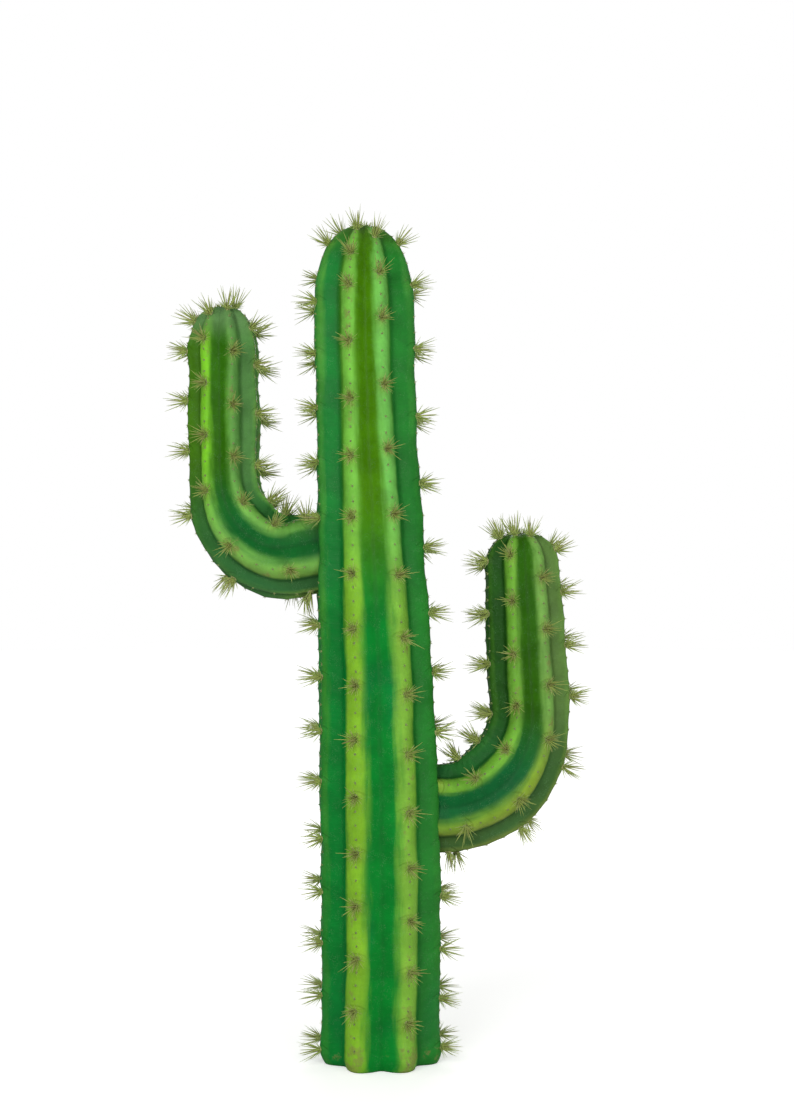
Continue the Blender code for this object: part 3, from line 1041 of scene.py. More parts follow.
@dataclass
class Armour:
    """The felt pads, spines and bristles of every limb.

    The three main spines of a cluster follow the solids' rule, draw for draw. The other spines and
    the bristles grow on from the same areoles.
    """

    limbs: list[Limb]
    clearance: float = 0.009
    ground_clearance: float = 0.012
    cover_margin: float = 0.012
    jitter: float = math.radians(6.0)
    bend: float = 0.05
    sag: float = 0.03
    foot_depth: float = 0.004
    test_points: int = 9
    fan_test_points: int = 4
    kept_points: int = 18
    bristle: Bristles = Bristles()
    growing_point: GrowingPoint = GrowingPoint()

    def __post_init__(self) -> None:
        """Measures the limbs once for the clearance test."""
        self.samples = {limb.name: limb.depth_samples() for limb in self.limbs}
        self.placed = np.empty((0, 3))

    def others(self, limb: Limb) -> list[tuple[Array, Array]]:
        """The samples of every other limb."""
        return [samples for name, samples in self.samples.items() if name != limb.name]

    def stands_clear(self, limb: Limb, points: Array) -> bool:
        """Whether a spine clears the ground, the other limbs and the other clusters.

        Args:
            limb: the limb that carries it.
            points: test points along it.

        Returns:
            Whether every test point does.
        """
        if points[:, 2].min() < self.ground_clearance:
            return False
        for centres, radii in self.others(limb):
            distances = np.linalg.norm(points[:, None] - centres, axis=2) - radii
            if distances.min() < self.clearance:
                return False
        gaps = np.linalg.norm(points[:, None] - self.placed, axis=2)
        return bool(gaps.min(initial=math.inf) > self.clearance)

    def covered(self, limb: Limb, point: Array) -> bool:
        """Whether a point of a crest lies inside another limb, or nearly so.

        Args:
            limb: the crest's own limb.
            point: the point.

        Returns:
            Whether it does.
        """
        return any(
            (np.linalg.norm(centres - point, axis=1) - radii).min() < self.cover_margin
            for centres, radii in self.others(limb)
        )

    def cluster(
        self, limb: Limb, rib: int, number: int, seat: Seat, batches: dict[SpineRole, SpineBatch]
    ) -> None:
        """Grows the main spines of one cluster, and the fans round them.

        Args:
            limb: the limb that carries it.
            rib: the rib's number.
            number: the cluster's number on that rib.
            seat: where it sits.
            batches: where the spines are gathered.
        """
        turns = limb.turns[rib][number]
        rng = np.random.default_rng([limb.seed, rib, number])
        foot = seat.point - self.foot_depth * seat.normal
        tests = []
        for order, kind in enumerate(MAIN_SPINES):
            tilt = math.radians(kind.lean) + self.jitter * turns[2 * order]
            swing = self.jitter * turns[2 * order + 1]
            leant = seat.normal + math.tan(tilt) * seat.along
            direction = unit(leant + math.tan(swing) * seat.across)
            base = seat.point - kind.depth * seat.normal
            tip = seat.point + kind.length * direction
            if not self.stands_clear(limb, np.linspace(base, tip, self.test_points)):
                continue
            bend = self.bend * unit(rng.normal(size=3)) - self.sag * Z_AXIS
            batches[kind.role].spines.append(Spine(foot, direction, bend, kind.length, kind.radius))
            tests.append(np.linspace(base, tip, self.kept_points))
        for fan in FANS:
            self.fan(limb, seat, fan, rng, batches[fan.role])
        self.placed = np.concatenate([self.placed, *tests])

    def fan(
        self, limb: Limb, seat: Seat, kind: SpineFan, rng: np.random.Generator, batch: SpineBatch
    ) -> None:
        """Grows a ring of spines round a cluster, at even turns with a seeded stray.

        Args:
            limb: the limb that carries them.
            seat: where the cluster sits.
            kind: the ring.
            rng: the cluster's own source of random turns.
            batch: where they are gathered.
        """
        bend = kind.curl * seat.normal
        for number in range(kind.count):
            turn = (number + 0.5 + kind.turn_stray * rng.normal()) * math.tau / kind.count
            lean = math.radians(kind.splay + kind.splay_stray * rng.normal())
            stray = float(np.clip(rng.normal(), *kind.length_limits))
            length = kind.length * (1.0 + kind.length_stray * stray)
            aside = seat.aside(turn)
            direction = seat.leaning(lean, aside)
            base = seat.point + kind.foot_reach * aside - kind.foot_depth * seat.normal
            tests = np.linspace(base, base + length * direction, self.fan_test_points)[1:]
            if self.stands_clear(limb, tests):
                batch.spines.append(Spine(base, direction, bend, length, kind.radius))

    def bristles(self, seat: Seat, seeds: list[int], count: int, batch: SpineBatch) -> None:
        """Grows the fine short bristles of one areole.

        Args:
            seat: where the areole sits.
            seeds: pick their turns and lengths.
            count: how many there are.
            batch: where they are gathered.
        """
        kind = self.bristle
        rng = np.random.default_rng(seeds)
        for turn in rng.uniform(0.0, math.tau, count):
            lean = math.radians(float(rng.uniform(*kind.splays)))
            length = kind.length * float(rng.uniform(*kind.length_shares))
            aside = seat.aside(turn)
            base, direction = seat.point + kind.foot_reach * aside, seat.leaning(lean, aside)
            batch.spines.append(Spine(base, direction, kind.curl * aside, length, kind.radius))

    def fill_tip(self, limb: Limb, pads: PadBatch, batch: SpineBatch) -> None:
        """Fills the hollow at a limb's tip.

        Args:
            limb: the limb.
            pads: where the cushion is gathered.
            batch: where the young spines are gathered.
        """
        kind = self.growing_point
        tip, normal = limb.tip()
        seat = Seat(tip - kind.depth * normal, normal, unit(FRONT - FRONT.dot(normal) * normal))
        pads.pads.append((seat, kind.cushion))
        rng = np.random.default_rng([limb.seed, RIBS])
        for turn in rng.uniform(0.0, math.tau, kind.count):
            away = rng.uniform(*kind.away)
            length = rng.uniform(*kind.length_shares) * kind.length
            aside = seat.aside(turn)
            lean = math.radians(kind.least_lean + kind.lean_per_metre * away)
            direction = seat.leaning(lean, aside)
            base = seat.point + away * aside + kind.lift * normal
            batch.spines.append(Spine(base, direction, kind.curl * aside, length, kind.radius))

    def grow(self, limb: Limb) -> dict[SpineRole | ClusterRank, bpy.types.Object]:
        """Makes every pad, spine and bristle of one limb.

        Args:
            limb: the limb that carries them.

        Returns:
            One piece for each role of spine, and one for the pads of each rank.
        """
        batches = {
            SpineRole.LONG: SpineBatch(sides=6, shares=(0.0, 0.05, 0.2, 0.45, 0.7, 0.88, 0.97)),
            SpineRole.MIDDLE: SpineBatch(sides=5, shares=(0.0, 0.06, 0.3, 0.6, 0.85, 0.96)),
            SpineRole.INNER: SpineBatch(sides=4, shares=(0.0, 0.08, 0.4, 0.75, 0.94)),
            SpineRole.RADIAL: SpineBatch(sides=4, shares=(0.0, 0.3, 0.65, 0.92)),
            SpineRole.BRISTLE: SpineBatch(sides=3, shares=(0.0, 0.5)),
        }
        pads = {
            ClusterRank.MAIN: PadBatch(rings=(1.0, 0.82, 0.55, 0.25), sides=12),
            ClusterRank.SMALL: PadBatch(rings=(1.0, 0.6), sides=8),
        }
        for rib in range(RIBS):
            for rank, size in PAD_SIZES.items():
                for number, station in enumerate(limb.areoles[rank][rib]):
                    seat = limb.seat(rib, float(station))
                    if self.covered(limb, seat.point):
                        continue
                    if rank is ClusterRank.MAIN:
                        self.cluster(limb, rib, number, seat, batches)
                    pads[rank].pads.append((seat, size))
                    seeds = [limb.seed, rib, int(station * 1e4)]
                    self.bristles(seat, seeds, BRISTLE_COUNTS[rank], batches[SpineRole.BRISTLE])
        self.fill_tip(limb, pads[ClusterRank.MAIN], batches[SpineRole.RADIAL])
        pieces = {
            role: batch.grid().make(f"{limb.name}_{role.value}") for role, batch in batches.items()
        }
        for rank, batch in pads.items():
            pieces[rank] = batch.grid(limb.seed).make(f"{limb.name}_{rank.value}_felt")
        return pieces


class NodeSheet:
    """Adds nodes to a tree from left to right."""

    columns = 12

    def __init__(self, tree: bpy.types.NodeTree) -> None:
        """Starts on an empty place of the tree."""
        self.tree = tree
        self.count = 0

    def add(self, kind: str, **settings: object) -> bpy.types.Node:
        """Adds a node.

        Args:
            kind: Blender's name of its type.
            settings: the node's own properties.

        Returns:
            The node.
        """
        node = self.tree.nodes.new(kind)
        row, column = divmod(self.count, self.columns)
        node.location = (180.0 * column, -260.0 * row)
        self.count += 1
        for key, value in settings.items():
            setattr(node, key, value)
        return node

    def feed(self, socket: Socket, value: object) -> None:
        """Gives a socket its input.

        Args:
            socket: the input.
            value: another node's output to link, or a plain value.
        """
        if isinstance(value, Socket):
            self.tree.links.new(value, socket)
        elif isinstance(value, tuple) and socket.type == "RGBA":
            socket.default_value = (*value, 1.0)
        else:
            socket.default_value = value

    def fed(self, kind: str, inputs: dict[str, object], **settings: object) -> bpy.types.Node:
        """Adds a node and feeds it.

        Args:
            kind: Blender's name of its type.
            inputs: what its sockets are fed, by name.
            settings: the node's own properties.

        Returns:
            The node.
        """
        node = self.add(kind, **settings)
        for name, value in inputs.items():
            self.feed(node.inputs[name], value)
        return node

    def math(self, operation: str, *values: object, clamp: bool = False) -> Socket:
        """A number worked out from one to three others.

        Args:
            operation: Blender's name of it.
            values: the numbers, in the node's order.
            clamp: whether the result is held between 0 and 1.

        Returns:
            The result.
        """
        node = self.add("ShaderNodeMath", operation=operation, use_clamp=clamp)
        for socket, value in zip(node.inputs, values):
            self.feed(socket, value)
        return node.outputs["Value"]

    def times(self, first: object, second: object) -> Socket:
        """The product of two numbers."""
        return self.math("MULTIPLY", first, second)

    def line(self, value: object, slope: object, base: object, clamp: bool = False) -> Socket:
        """The number value * slope + base."""
        return self.math("MULTIPLY_ADD", value, slope, base, clamp=clamp)

    def span(self, value: object, low: float, high: float, into: Range = (0.0, 1.0)) -> Socket:
        """A number carried smoothly from one range into another.

        Args:
            value: the number.
            low: what becomes the first end of into.
            high: what becomes its second end.
            into: the range of the result.

        Returns:
            The result.
        """
        ends = {"From Min": low, "From Max": high, "To Min": into[0], "To Max": into[1]}
        kind = "ShaderNodeMapRange"
        node = self.fed(kind, {"Value": value, **ends}, interpolation_type="SMOOTHSTEP")
        return node.outputs["Result"]

    def mix(self, factor: object, first: object, second: object, blend: str = "MIX") -> Socket:
        """A colour mixed from two.

        Args:
            factor: 0 for the first and 1 for the second.
            first: the first colour.
            second: the second colour.
            blend: Blender's name of how they are mixed.

        Returns:
            The colour.
        """
        inputs = {"Factor": factor, "A": first, "B": second}
        node = self.fed("ShaderNodeMix", inputs, data_type="RGBA", blend_type=blend)
        return node.outputs["Result"]

    def noise(
        self, vector: object, scale: object, detail: float = 3.0, roughness: float = 0.55
    ) -> Socket:
        """Cloudy noise.

        Args:
            vector: the place.
            scale: clouds a metre.
            detail: how many finer layers are added.
            roughness: how strong the finer layers are.

        Returns:
            The noise, from 0 to 1.
        """
        inputs = {"Vector": vector, "Scale": scale, "Detail": detail, "Roughness": roughness}
        return self.fed("ShaderNodeTexNoise", inputs).outputs["Fac"]

    def cells(self, vector: object, scale: object, feature: str = "F1") -> Socket:
        """The distance from a cell's middle, or to its edge."""
        inputs = {"Vector": vector, "Scale": scale}
        return self.fed("ShaderNodeTexVoronoi", inputs, feature=feature).outputs["Distance"]

    def stretch(self, vector: object, scale: tuple[float, float, float]) -> Socket:
        """A place stretched along each axis."""
        return self.fed("ShaderNodeMapping", {"Vector": vector, "Scale": scale}).outputs["Vector"]

    def grey(self, value: Socket) -> Socket:
        """A number as a grey colour."""
        inputs = {"Red": value, "Green": value, "Blue": value}
        return self.fed("ShaderNodeCombineColor", inputs).outputs["Color"]

    def attribute(self, name: str, output: str = "Fac") -> Socket:
        """A value that the mesh carries."""
        return self.add("ShaderNodeAttribute", attribute_name=name).outputs[output]

    def object_place(self) -> Socket:
        """The place of a point in its object."""
        return self.add("ShaderNodeTexCoord").outputs["Object"]

    def relief(self, height: Socket, strength: float, distance: float) -> Socket:
        """A normal that leans with a height."""
        inputs = {"Strength": strength, "Distance": distance, "Height": height}
        return self.fed("ShaderNodeBump", inputs).outputs["Normal"]


class SurfaceEffect(NodeSheet):
    """The nodes of a group that several finishes share.

    Its inputs are numbers, each with its first value, and a place, which has none.
    """

    name = ""
    inputs: dict[str, float | None] = {}

    @classmethod
    def group(cls) -> bpy.types.NodeTree:
        """Finds the group, or builds it the first time.

        Returns:
            Its tree.
        """
        found = bpy.data.node_groups.get(cls.name)
        if found:
            return found
        tree = bpy.data.node_groups.new(cls.name, "ShaderNodeTree")
        for name, value in cls.inputs.items():
            kind = "NodeSocketVector" if value is None else "NodeSocketFloat"
            socket = tree.interface.new_socket(name, in_out="INPUT", socket_type=kind)
            if value is not None:
                socket.default_value = value
        effect = cls(tree)
        effect.given = effect.add("NodeGroupInput").outputs
        results = effect.fill()
        for name in results:
            tree.interface.new_socket(name, in_out="OUTPUT", socket_type="NodeSocketFloat")
        effect.fed("NodeGroupOutput", results)
        return tree

    @classmethod
    def place(cls, sheet: NodeSheet, **values: object) -> Sockets:
        """Places the effect in a material.

        Args:
            sheet: the material's nodes.
            values: inputs by name, with _ for a space.

        Returns:
            The placed group's outputs.
        """
        inputs = {key.replace("_", " "): value for key, value in values.items()}
        return sheet.fed("ShaderNodeGroup", inputs, node_tree=cls.group()).outputs

    def fill(self) -> dict[str, Socket]:
        """Builds the effect's nodes.

        Returns:
            Its outputs by name, each from 0 to 1.
        """
        raise NotImplementedError


class Mottle(SurfaceEffect):
    """Cloudy patches and long streaks that break up an even colour."""

    name = "mottle and streaks"
    inputs = {"Place": None, "Patch Scale": 9.0, "Streak Scale": 30.0}

    def fill(self) -> dict[str, Socket]:
        """Noise for the patches, and noise drawn out along the limb for the streaks and the drift.

        Returns:
            Patches, Streaks and Drift.
        """
        place = self.given["Place"]
        patches = self.noise(place, self.given["Patch Scale"], detail=5.0, roughness=0.6)
        drawn = self.stretch(place, (1.0, 1.0, 0.12))
        streaks = self.noise(drawn, self.given["Streak Scale"], detail=4.0)
        drift = self.noise(self.stretch(place, (1.0, 1.0, 0.45)), 4.0, detail=2.0)
        return {
            "Patches": self.span(patches, 0.34, 0.66),
            "Streaks": self.span(streaks, 0.36, 0.64),
            "Drift": self.span(drift, 0.53, 0.74),
        }


class WaxDots(SurfaceEffect):
    """The pale pores and wax dots of a cuticle."""

    name = "wax dots"
    inputs = {"Place": None, "Density": 260.0, "Dot Size": 0.28}

    def fill(self) -> dict[str, Socket]:
        """Round dots where a cell's distance is small, and a fine grain beside them.

        Returns:
            Dots and Grain.
        """
        place = self.given["Place"]
        distance = self.cells(place, self.given["Density"])
        dots = self.span(self.math("DIVIDE", distance, self.given["Dot Size"]), 1.15, 0.65)
        chosen = self.span(self.noise(place, 34.0, detail=2.0), 0.45, 0.62)
        return {"Dots": self.times(dots, chosen), "Grain": self.noise(place, 520.0, detail=2.0)}


class Pleats(SurfaceEffect):
    """The fine level wrinkles that a ribbed stem folds into as it swells and shrinks."""

    name = "level wrinkles"
    inputs = {"Place": None, "Fineness": 90.0}

    def fill(self) -> dict[str, Socket]:
        """Noise squeezed along the limb, in two sizes.

        Returns:
            Height.
        """
        fineness = self.given["Fineness"]
        squeezed = self.stretch(self.given["Place"], (0.16, 0.16, 1.0))
        coarse = self.noise(squeezed, fineness, detail=3.0)
        fine = self.noise(squeezed, self.times(fineness, 3.1), detail=2.0)
        return {"Height": self.times(self.line(fine, 0.4, coarse), 0.714)}


class Cork(SurfaceEffect):
    """Patches of dry corky skin, where an amount lets them through."""

    name = "corky patches"
    inputs = {"Place": None, "Amount": 0.3}

    def fill(self) -> dict[str, Socket]:
        """Noise above a threshold that falls as the amount grows, with a cracked grain in it.

        Returns:
            Patch and Crackle.
        """
        place = self.given["Place"]
        cloud = self.noise(place, 17.0, detail=6.0, roughness=0.68)
        level = self.math("ADD", cloud, self.times(self.given["Amount"], 0.42))
        edges = self.cells(self.stretch(place, (1.0, 1.0, 2.2)), 120.0, "DISTANCE_TO_EDGE")
        return {"Patch": self.span(level, 0.70, 0.80), "Crackle": self.span(edges, 0.0, 0.12)}


class Notches(SurfaceEffect):
    """The shallow notch above each areole, which curves down over both flanks of the rib."""

    name = "areole notches"
    inputs = {"Crest": 1.0, "Above": 0.2, "Width": 0.0065}
    rise = 0.021
    bow = 0.10

    def fill(self) -> dict[str, Socket]:
        """A line where Above = rise - bow * (1 - Crest)^2, fading over Width and down the flank.

        Returns:
            Notch, which is 1 on the line.
        """
        aside = self.math("SUBTRACT", 1.0, self.given["Crest"])
        bowed = self.times(self.times(aside, aside), self.bow)
        above = self.math("SUBTRACT", self.math("ADD", self.given["Above"], bowed), self.rise)
        off = self.math("DIVIDE", self.math("ABSOLUTE", above), self.given["Width"])
        return {"Notch": self.times(self.span(off, 1.0, 0.0), self.span(aside, 0.62, 0.25))}


@dataclass(frozen=True)
class Corners:
    """A colour for the left and the right of a limb, low and high on it."""

    low: tuple[Colour, Colour]
    high: tuple[Colour, Colour]

    def blend(self, sheet: NodeSheet, right: Socket, high: Socket) -> Socket:
        """The four colours mixed by how far right and how high a point lies."""
        return sheet.mix(high, sheet.mix(right, *self.low), sheet.mix(right, *self.high))


@dataclass(frozen=True)
class Finish:
    """A material to be made, and the slot of the record that it goes into, if any."""

    name: str
    slot: str

    def material(self) -> bpy.types.Material:
        """Builds the material, with a single shader.

        Returns:
            The material.
        """
        material = bpy.data.materials.new(self.name)
        material.use_nodes = True
        tree = material.node_tree
        shader = tree.nodes["Principled BSDF"]
        sheet = NodeSheet(tree)
        for name, value in self.surface(sheet).items():
            sheet.feed(shader.inputs[name], value)
        return material

    def surface(self, sheet: NodeSheet) -> dict[str, object]:
        """What the shader is fed, by the names of its inputs."""
        raise NotImplementedError


@dataclass(frozen=True)
class SkinFinish(Finish):
    """The colours and gloss of one limb's skin.

    Colours are linear. A from or a fade is the span over which something comes or goes, a share is
    how much of a colour is mixed in, and a height is a part of the fine relief.
    """

    crest: Corners
    flank: Corners
    front_groove: Colour
    front_groove_high: Colour
    crest_under: Colour
    flank_under: Colour
    # Painted shade: the tip colour is laid over the shoulders of the dome, most on the flanks.
    tip: Colour
    high_from: Range = (0.42, 0.66)
    right_from: Range = (-0.30, 0.45)
    under_from: Range = (0.1, 0.8)
    crown_painted_shade_from: Range = (0.92, 0.98)
    groove_from: Range = (0.60, 0.88)
    crown_painted_shade_strength: Range = (0.8, 0.1)
    cork: Colour = (0.240, 0.200, 0.070)
    straw: Colour = (0.300, 0.400, 0.060)
    bloom: Colour = (0.200, 0.380, 0.200)
    teal: Colour = (0.001, 0.148, 0.062)
    groove_teal_share: float = 0.42
    flank_teal_share: float = 0.20
    teal_loss_high: float = 0.9
    straw_share: float = 0.45
    bloom_share: float = 0.34
    cork_share: float = 0.50
    band_cork: float = 0.28
    foot_cork: float = 0.40
    foot_fade: Range = (0.060, 0.0)
    band: Range = (0.34, 0.80)
    band_streaks: float = 0.16
    # Painted shade: the crest band fades out on the left and right sides of a limb, leaving them
    # dark. side_strength is how much band each side keeps.
    side_painted_shade_span: Range = (0.12, 0.70)
    side_strength: Range = (0.04, 0.04)
    crown_fade: Range = (0.998, 0.962)
    shade: Range = (0.86, 1.12)
    # Painted shade: the colour is darkened towards the bottom of each groove.
    groove_painted_shade_span: Range = (0.0, 0.20)
    groove_painted_shade: Range = (0.80, 1.0)
    # Painted shade: the colour is darkened in the notch above each areole.
    notch_painted_shade: float = -0.16
    roughness: float = 0.50
    patch_roughness: float = 0.14
    cork_roughness: float = 0.30
    specular: float = 0.10
    dot_height: float = 0.15
    grain_height: float = 0.12
    crackle_height: float = 0.6
    notch_height: float = -0.9
    relief_strength: float = 0.6
    relief: float = 0.0030

    def surface(self, sheet: NodeSheet) -> dict[str, object]:
        """The living colour with wax dots and cork over it, its gloss and its fine relief.

        Args:
            sheet: the material's nodes.

        Returns:
            What the shader is fed.
        """
        place = sheet.attribute("unrolled", "Vector")
        mottle = Mottle.place(sheet, Place=place)
        dots = WaxDots.place(sheet, Place=place)
        crest, above = sheet.attribute("crest"), sheet.attribute("above")
        notch = Notches.place(sheet, Crest=crest, Above=above)["Notch"]
        colour, band = self.rib_colour(sheet, mottle, crest, notch)
        colour = sheet.mix(sheet.times(dots["Dots"], self.bloom_share), colour, self.bloom)
        low = sheet.span(sheet.attribute("rise"), *self.foot_fade)
        dry = sheet.line(band, self.band_cork, sheet.times(low, self.foot_cork))
        cork = Cork.place(sheet, Place=place, Amount=dry)
        corky = sheet.times(cork["Patch"], self.cork_share)
        least = self.roughness - self.patch_roughness / 2.0
        rough = sheet.line(mottle["Patches"], self.patch_roughness, least)
        rough = sheet.line(corky, self.cork_roughness, rough, clamp=True)
        height = Pleats.place(sheet, Place=place)["Height"]
        for form, size in (
            (dots["Dots"], self.dot_height),
            (dots["Grain"], self.grain_height),
            (sheet.times(cork["Crackle"], corky), self.crackle_height),
            (notch, self.notch_height),
        ):
            height = sheet.line(form, size, height)
        return {
            "Base Color": sheet.mix(corky, colour, self.cork),
            "Roughness": rough,
            "Normal": sheet.relief(height, self.relief_strength, self.relief),
            "Specular IOR Level": self.specular,
        }

    def rib_colour(
        self, sheet: NodeSheet, mottle: Sockets, crest: Socket, notch: Socket
    ) -> tuple[Socket, Socket]:
        """The living colour of the ribs.

        A rib goes from its flank's colour to the band along its crest. Both change up the limb,
        from its left to its right and on its underside. The front groove has a colour of its own.
        The bands fade at the sides as painted shade, and painted shade tints the tip's shoulders.
        Painted shade also darkens the bottoms of the grooves and the notches above the areoles,
        and patches and streaks break them up.

        Args:
            sheet: the material's nodes.
            mottle: the placed mottle's outputs.
            crest: 1 on a crest and 0 in a groove.
            notch: 1 in the notch above an areole.

        Returns:
            The colour, and how far it is the crest band's.
        """
        drawn, facing, aside, under, rise, areole = (
            sheet.attribute(name) for name in ("band", "facing", "aside", "under", "rise", "areole")
        )
        high = sheet.span(rise, *self.high_from)
        right = sheet.span(aside, *self.right_from)
        streaks = sheet.line(mottle["Streaks"], self.band_streaks, -self.band_streaks / 2.0)
        across = sheet.math("ADD", drawn, streaks)
        # Painted shade: the band is weakened where the skin faces left or right.
        leftmost, rightmost = self.side_strength
        side = sheet.line(right, rightmost - leftmost, leftmost)
        strength = sheet.span(facing, *self.side_painted_shade_span)
        strength = sheet.line(strength, sheet.math("SUBTRACT", 1.0, side), side)
        strength = sheet.times(strength, sheet.span(rise, *self.crown_fade))
        band = sheet.times(sheet.span(across, *self.band), strength)
        groove = sheet.mix(high, self.front_groove, self.front_groove_high)
        drift = sheet.times(mottle["Drift"], sheet.line(high, -self.teal_loss_high, 1.0))
        groove = sheet.mix(sheet.times(drift, self.groove_teal_share), groove, self.teal)
        flank = sheet.mix(under, self.flank.blend(sheet, right, high), self.flank_under)
        flank = sheet.mix(sheet.times(drift, self.flank_teal_share), flank, self.teal)
        colour = sheet.mix(sheet.span(facing, *self.groove_from), flank, groove)
        ridge = self.crest.blend(sheet, right, high)
        ridge = sheet.mix(sheet.span(under, *self.under_from), ridge, self.crest_under)
        ridge = sheet.mix(sheet.times(areole, self.straw_share), ridge, self.straw)
        colour = sheet.mix(band, colour, ridge)
        # Painted shade on the shoulders of the dome.
        most, least = self.crown_painted_shade_strength
        tip = sheet.times(sheet.span(rise, *self.crown_painted_shade_from), sheet.line(band, least - most, most))
        colour = sheet.mix(tip, colour, self.tip)
        dark, light = self.shade
        shade = sheet.line(mottle["Patches"], light - dark, dark)
        # Painted shade at the bottoms of the grooves.
        shade = sheet.times(shade, sheet.span(crest, *self.groove_painted_shade_span, self.groove_painted_shade))
        # Painted shade in the notches above the areoles.
        shade = sheet.times(shade, sheet.line(notch, self.notch_painted_shade, 1.0))
        return sheet.mix(1.0, colour, sheet.grey(shade), "MULTIPLY"), band


@dataclass(frozen=True)
class HornFinish(Finish):
    """The finish of spines and bristles: a dry horny surface in one colour, finely mottled."""

    colour: Colour
    dark: Colour
    dark_share: float = 0.6
    patch_scale: float = 38.0
    streak_scale: float = 160.0
    grain: float = 700.0
    roughness: float = 0.42
    streak_roughness: float = 0.16
    relief_strength: float = 0.3
    relief: float = 0.0003

    def surface(self, sheet: NodeSheet) -> dict[str, object]:
        """The two colours mixed by patches, with a fine grain as relief.

        Args:
            sheet: the material's nodes.

        Returns:
            What the shader is fed.
        """
        place = sheet.object_place()
        scales = {"Patch_Scale": self.patch_scale, "Streak_Scale": self.streak_scale}
        mottle = Mottle.place(sheet, Place=place, **scales)
        dots = WaxDots.place(sheet, Place=place, Density=self.grain)
        share = sheet.times(mottle["Patches"], self.dark_share)
        least = self.roughness - self.streak_roughness / 2.0
        return {
            "Base Color": sheet.mix(share, self.colour, self.dark),
            "Roughness": sheet.line(mottle["Streaks"], self.streak_roughness, least),
            "Normal": sheet.relief(dots["Grain"], self.relief_strength, self.relief),
        }


@dataclass(frozen=True)
class FeltFinish(Finish):
    """The finish of the felt pads: matted wool, pale with darker tufts."""

    pale: Colour
    dark: Colour
    clump_scale: float = 420.0
    fibre_scale: float = 1400.0
    fibre_height: float = 0.5
    roughness: Range = (0.85, 0.98)
    sheen: float = 0.35
    specular: float = 0.2
    relief_strength: float = 0.8
    relief: float = 0.0012

    def surface(self, sheet: NodeSheet) -> dict[str, object]:
        """Clumps of two colours and a deep fibrous relief.

        Args:
            sheet: the material's nodes.

        Returns:
            What the shader is fed.
        """
        place = sheet.object_place()
        clumps = sheet.noise(place, self.clump_scale, detail=4.0)
        fibres = sheet.noise(sheet.stretch(place, (1.0, 1.0, 0.3)), self.fibre_scale, detail=2.0)
        height = sheet.line(fibres, self.fibre_height, clumps)
        return {
            "Base Color": sheet.mix(sheet.span(clumps, 0.35, 0.65), self.dark, self.pale),
            "Roughness": sheet.span(clumps, 0.2, 0.8, self.roughness),
            "Normal": sheet.relief(height, self.relief_strength, self.relief),
            "Sheen Weight": self.sheen,
            "Specular IOR Level": self.specular,
        }


@dataclass(frozen=True)
class FloorFinish(Finish):
    """The pale floor, which glows to the camera, and more so far away."""

    colours: tuple[Colour, Colour] = ((0.80, 0.80, 0.79), (0.84, 0.84, 0.83))
    glow: Range = (0.45, 0.75)
    glow_distances: Range = (1.0, 7.0)
    roughness: float = 0.9
    specular: float = 0.1

    def surface(self, sheet: NodeSheet) -> dict[str, object]:
        """A faint grain of two colours, and the glow.

        Args:
            sheet: the material's nodes.

        Returns:
            What the shader is fed.
        """
        place = sheet.object_place()
        away = sheet.add("ShaderNodeVectorMath", operation="LENGTH")
        sheet.feed(away.inputs[0], place)
        far = sheet.span(away.outputs["Value"], *self.glow_distances, self.glow)
        seen = sheet.add("ShaderNodeLightPath").outputs["Is Camera Ray"]
        return {
            "Base Color": sheet.mix(sheet.noise(place, 60.0, detail=4.0), *self.colours),
            "Roughness": self.roughness,
            "Specular IOR Level": self.specular,
            "Emission Color": sheet.grey(sheet.times(seen, far)),
            "Emission Strength": 1.0,
        }


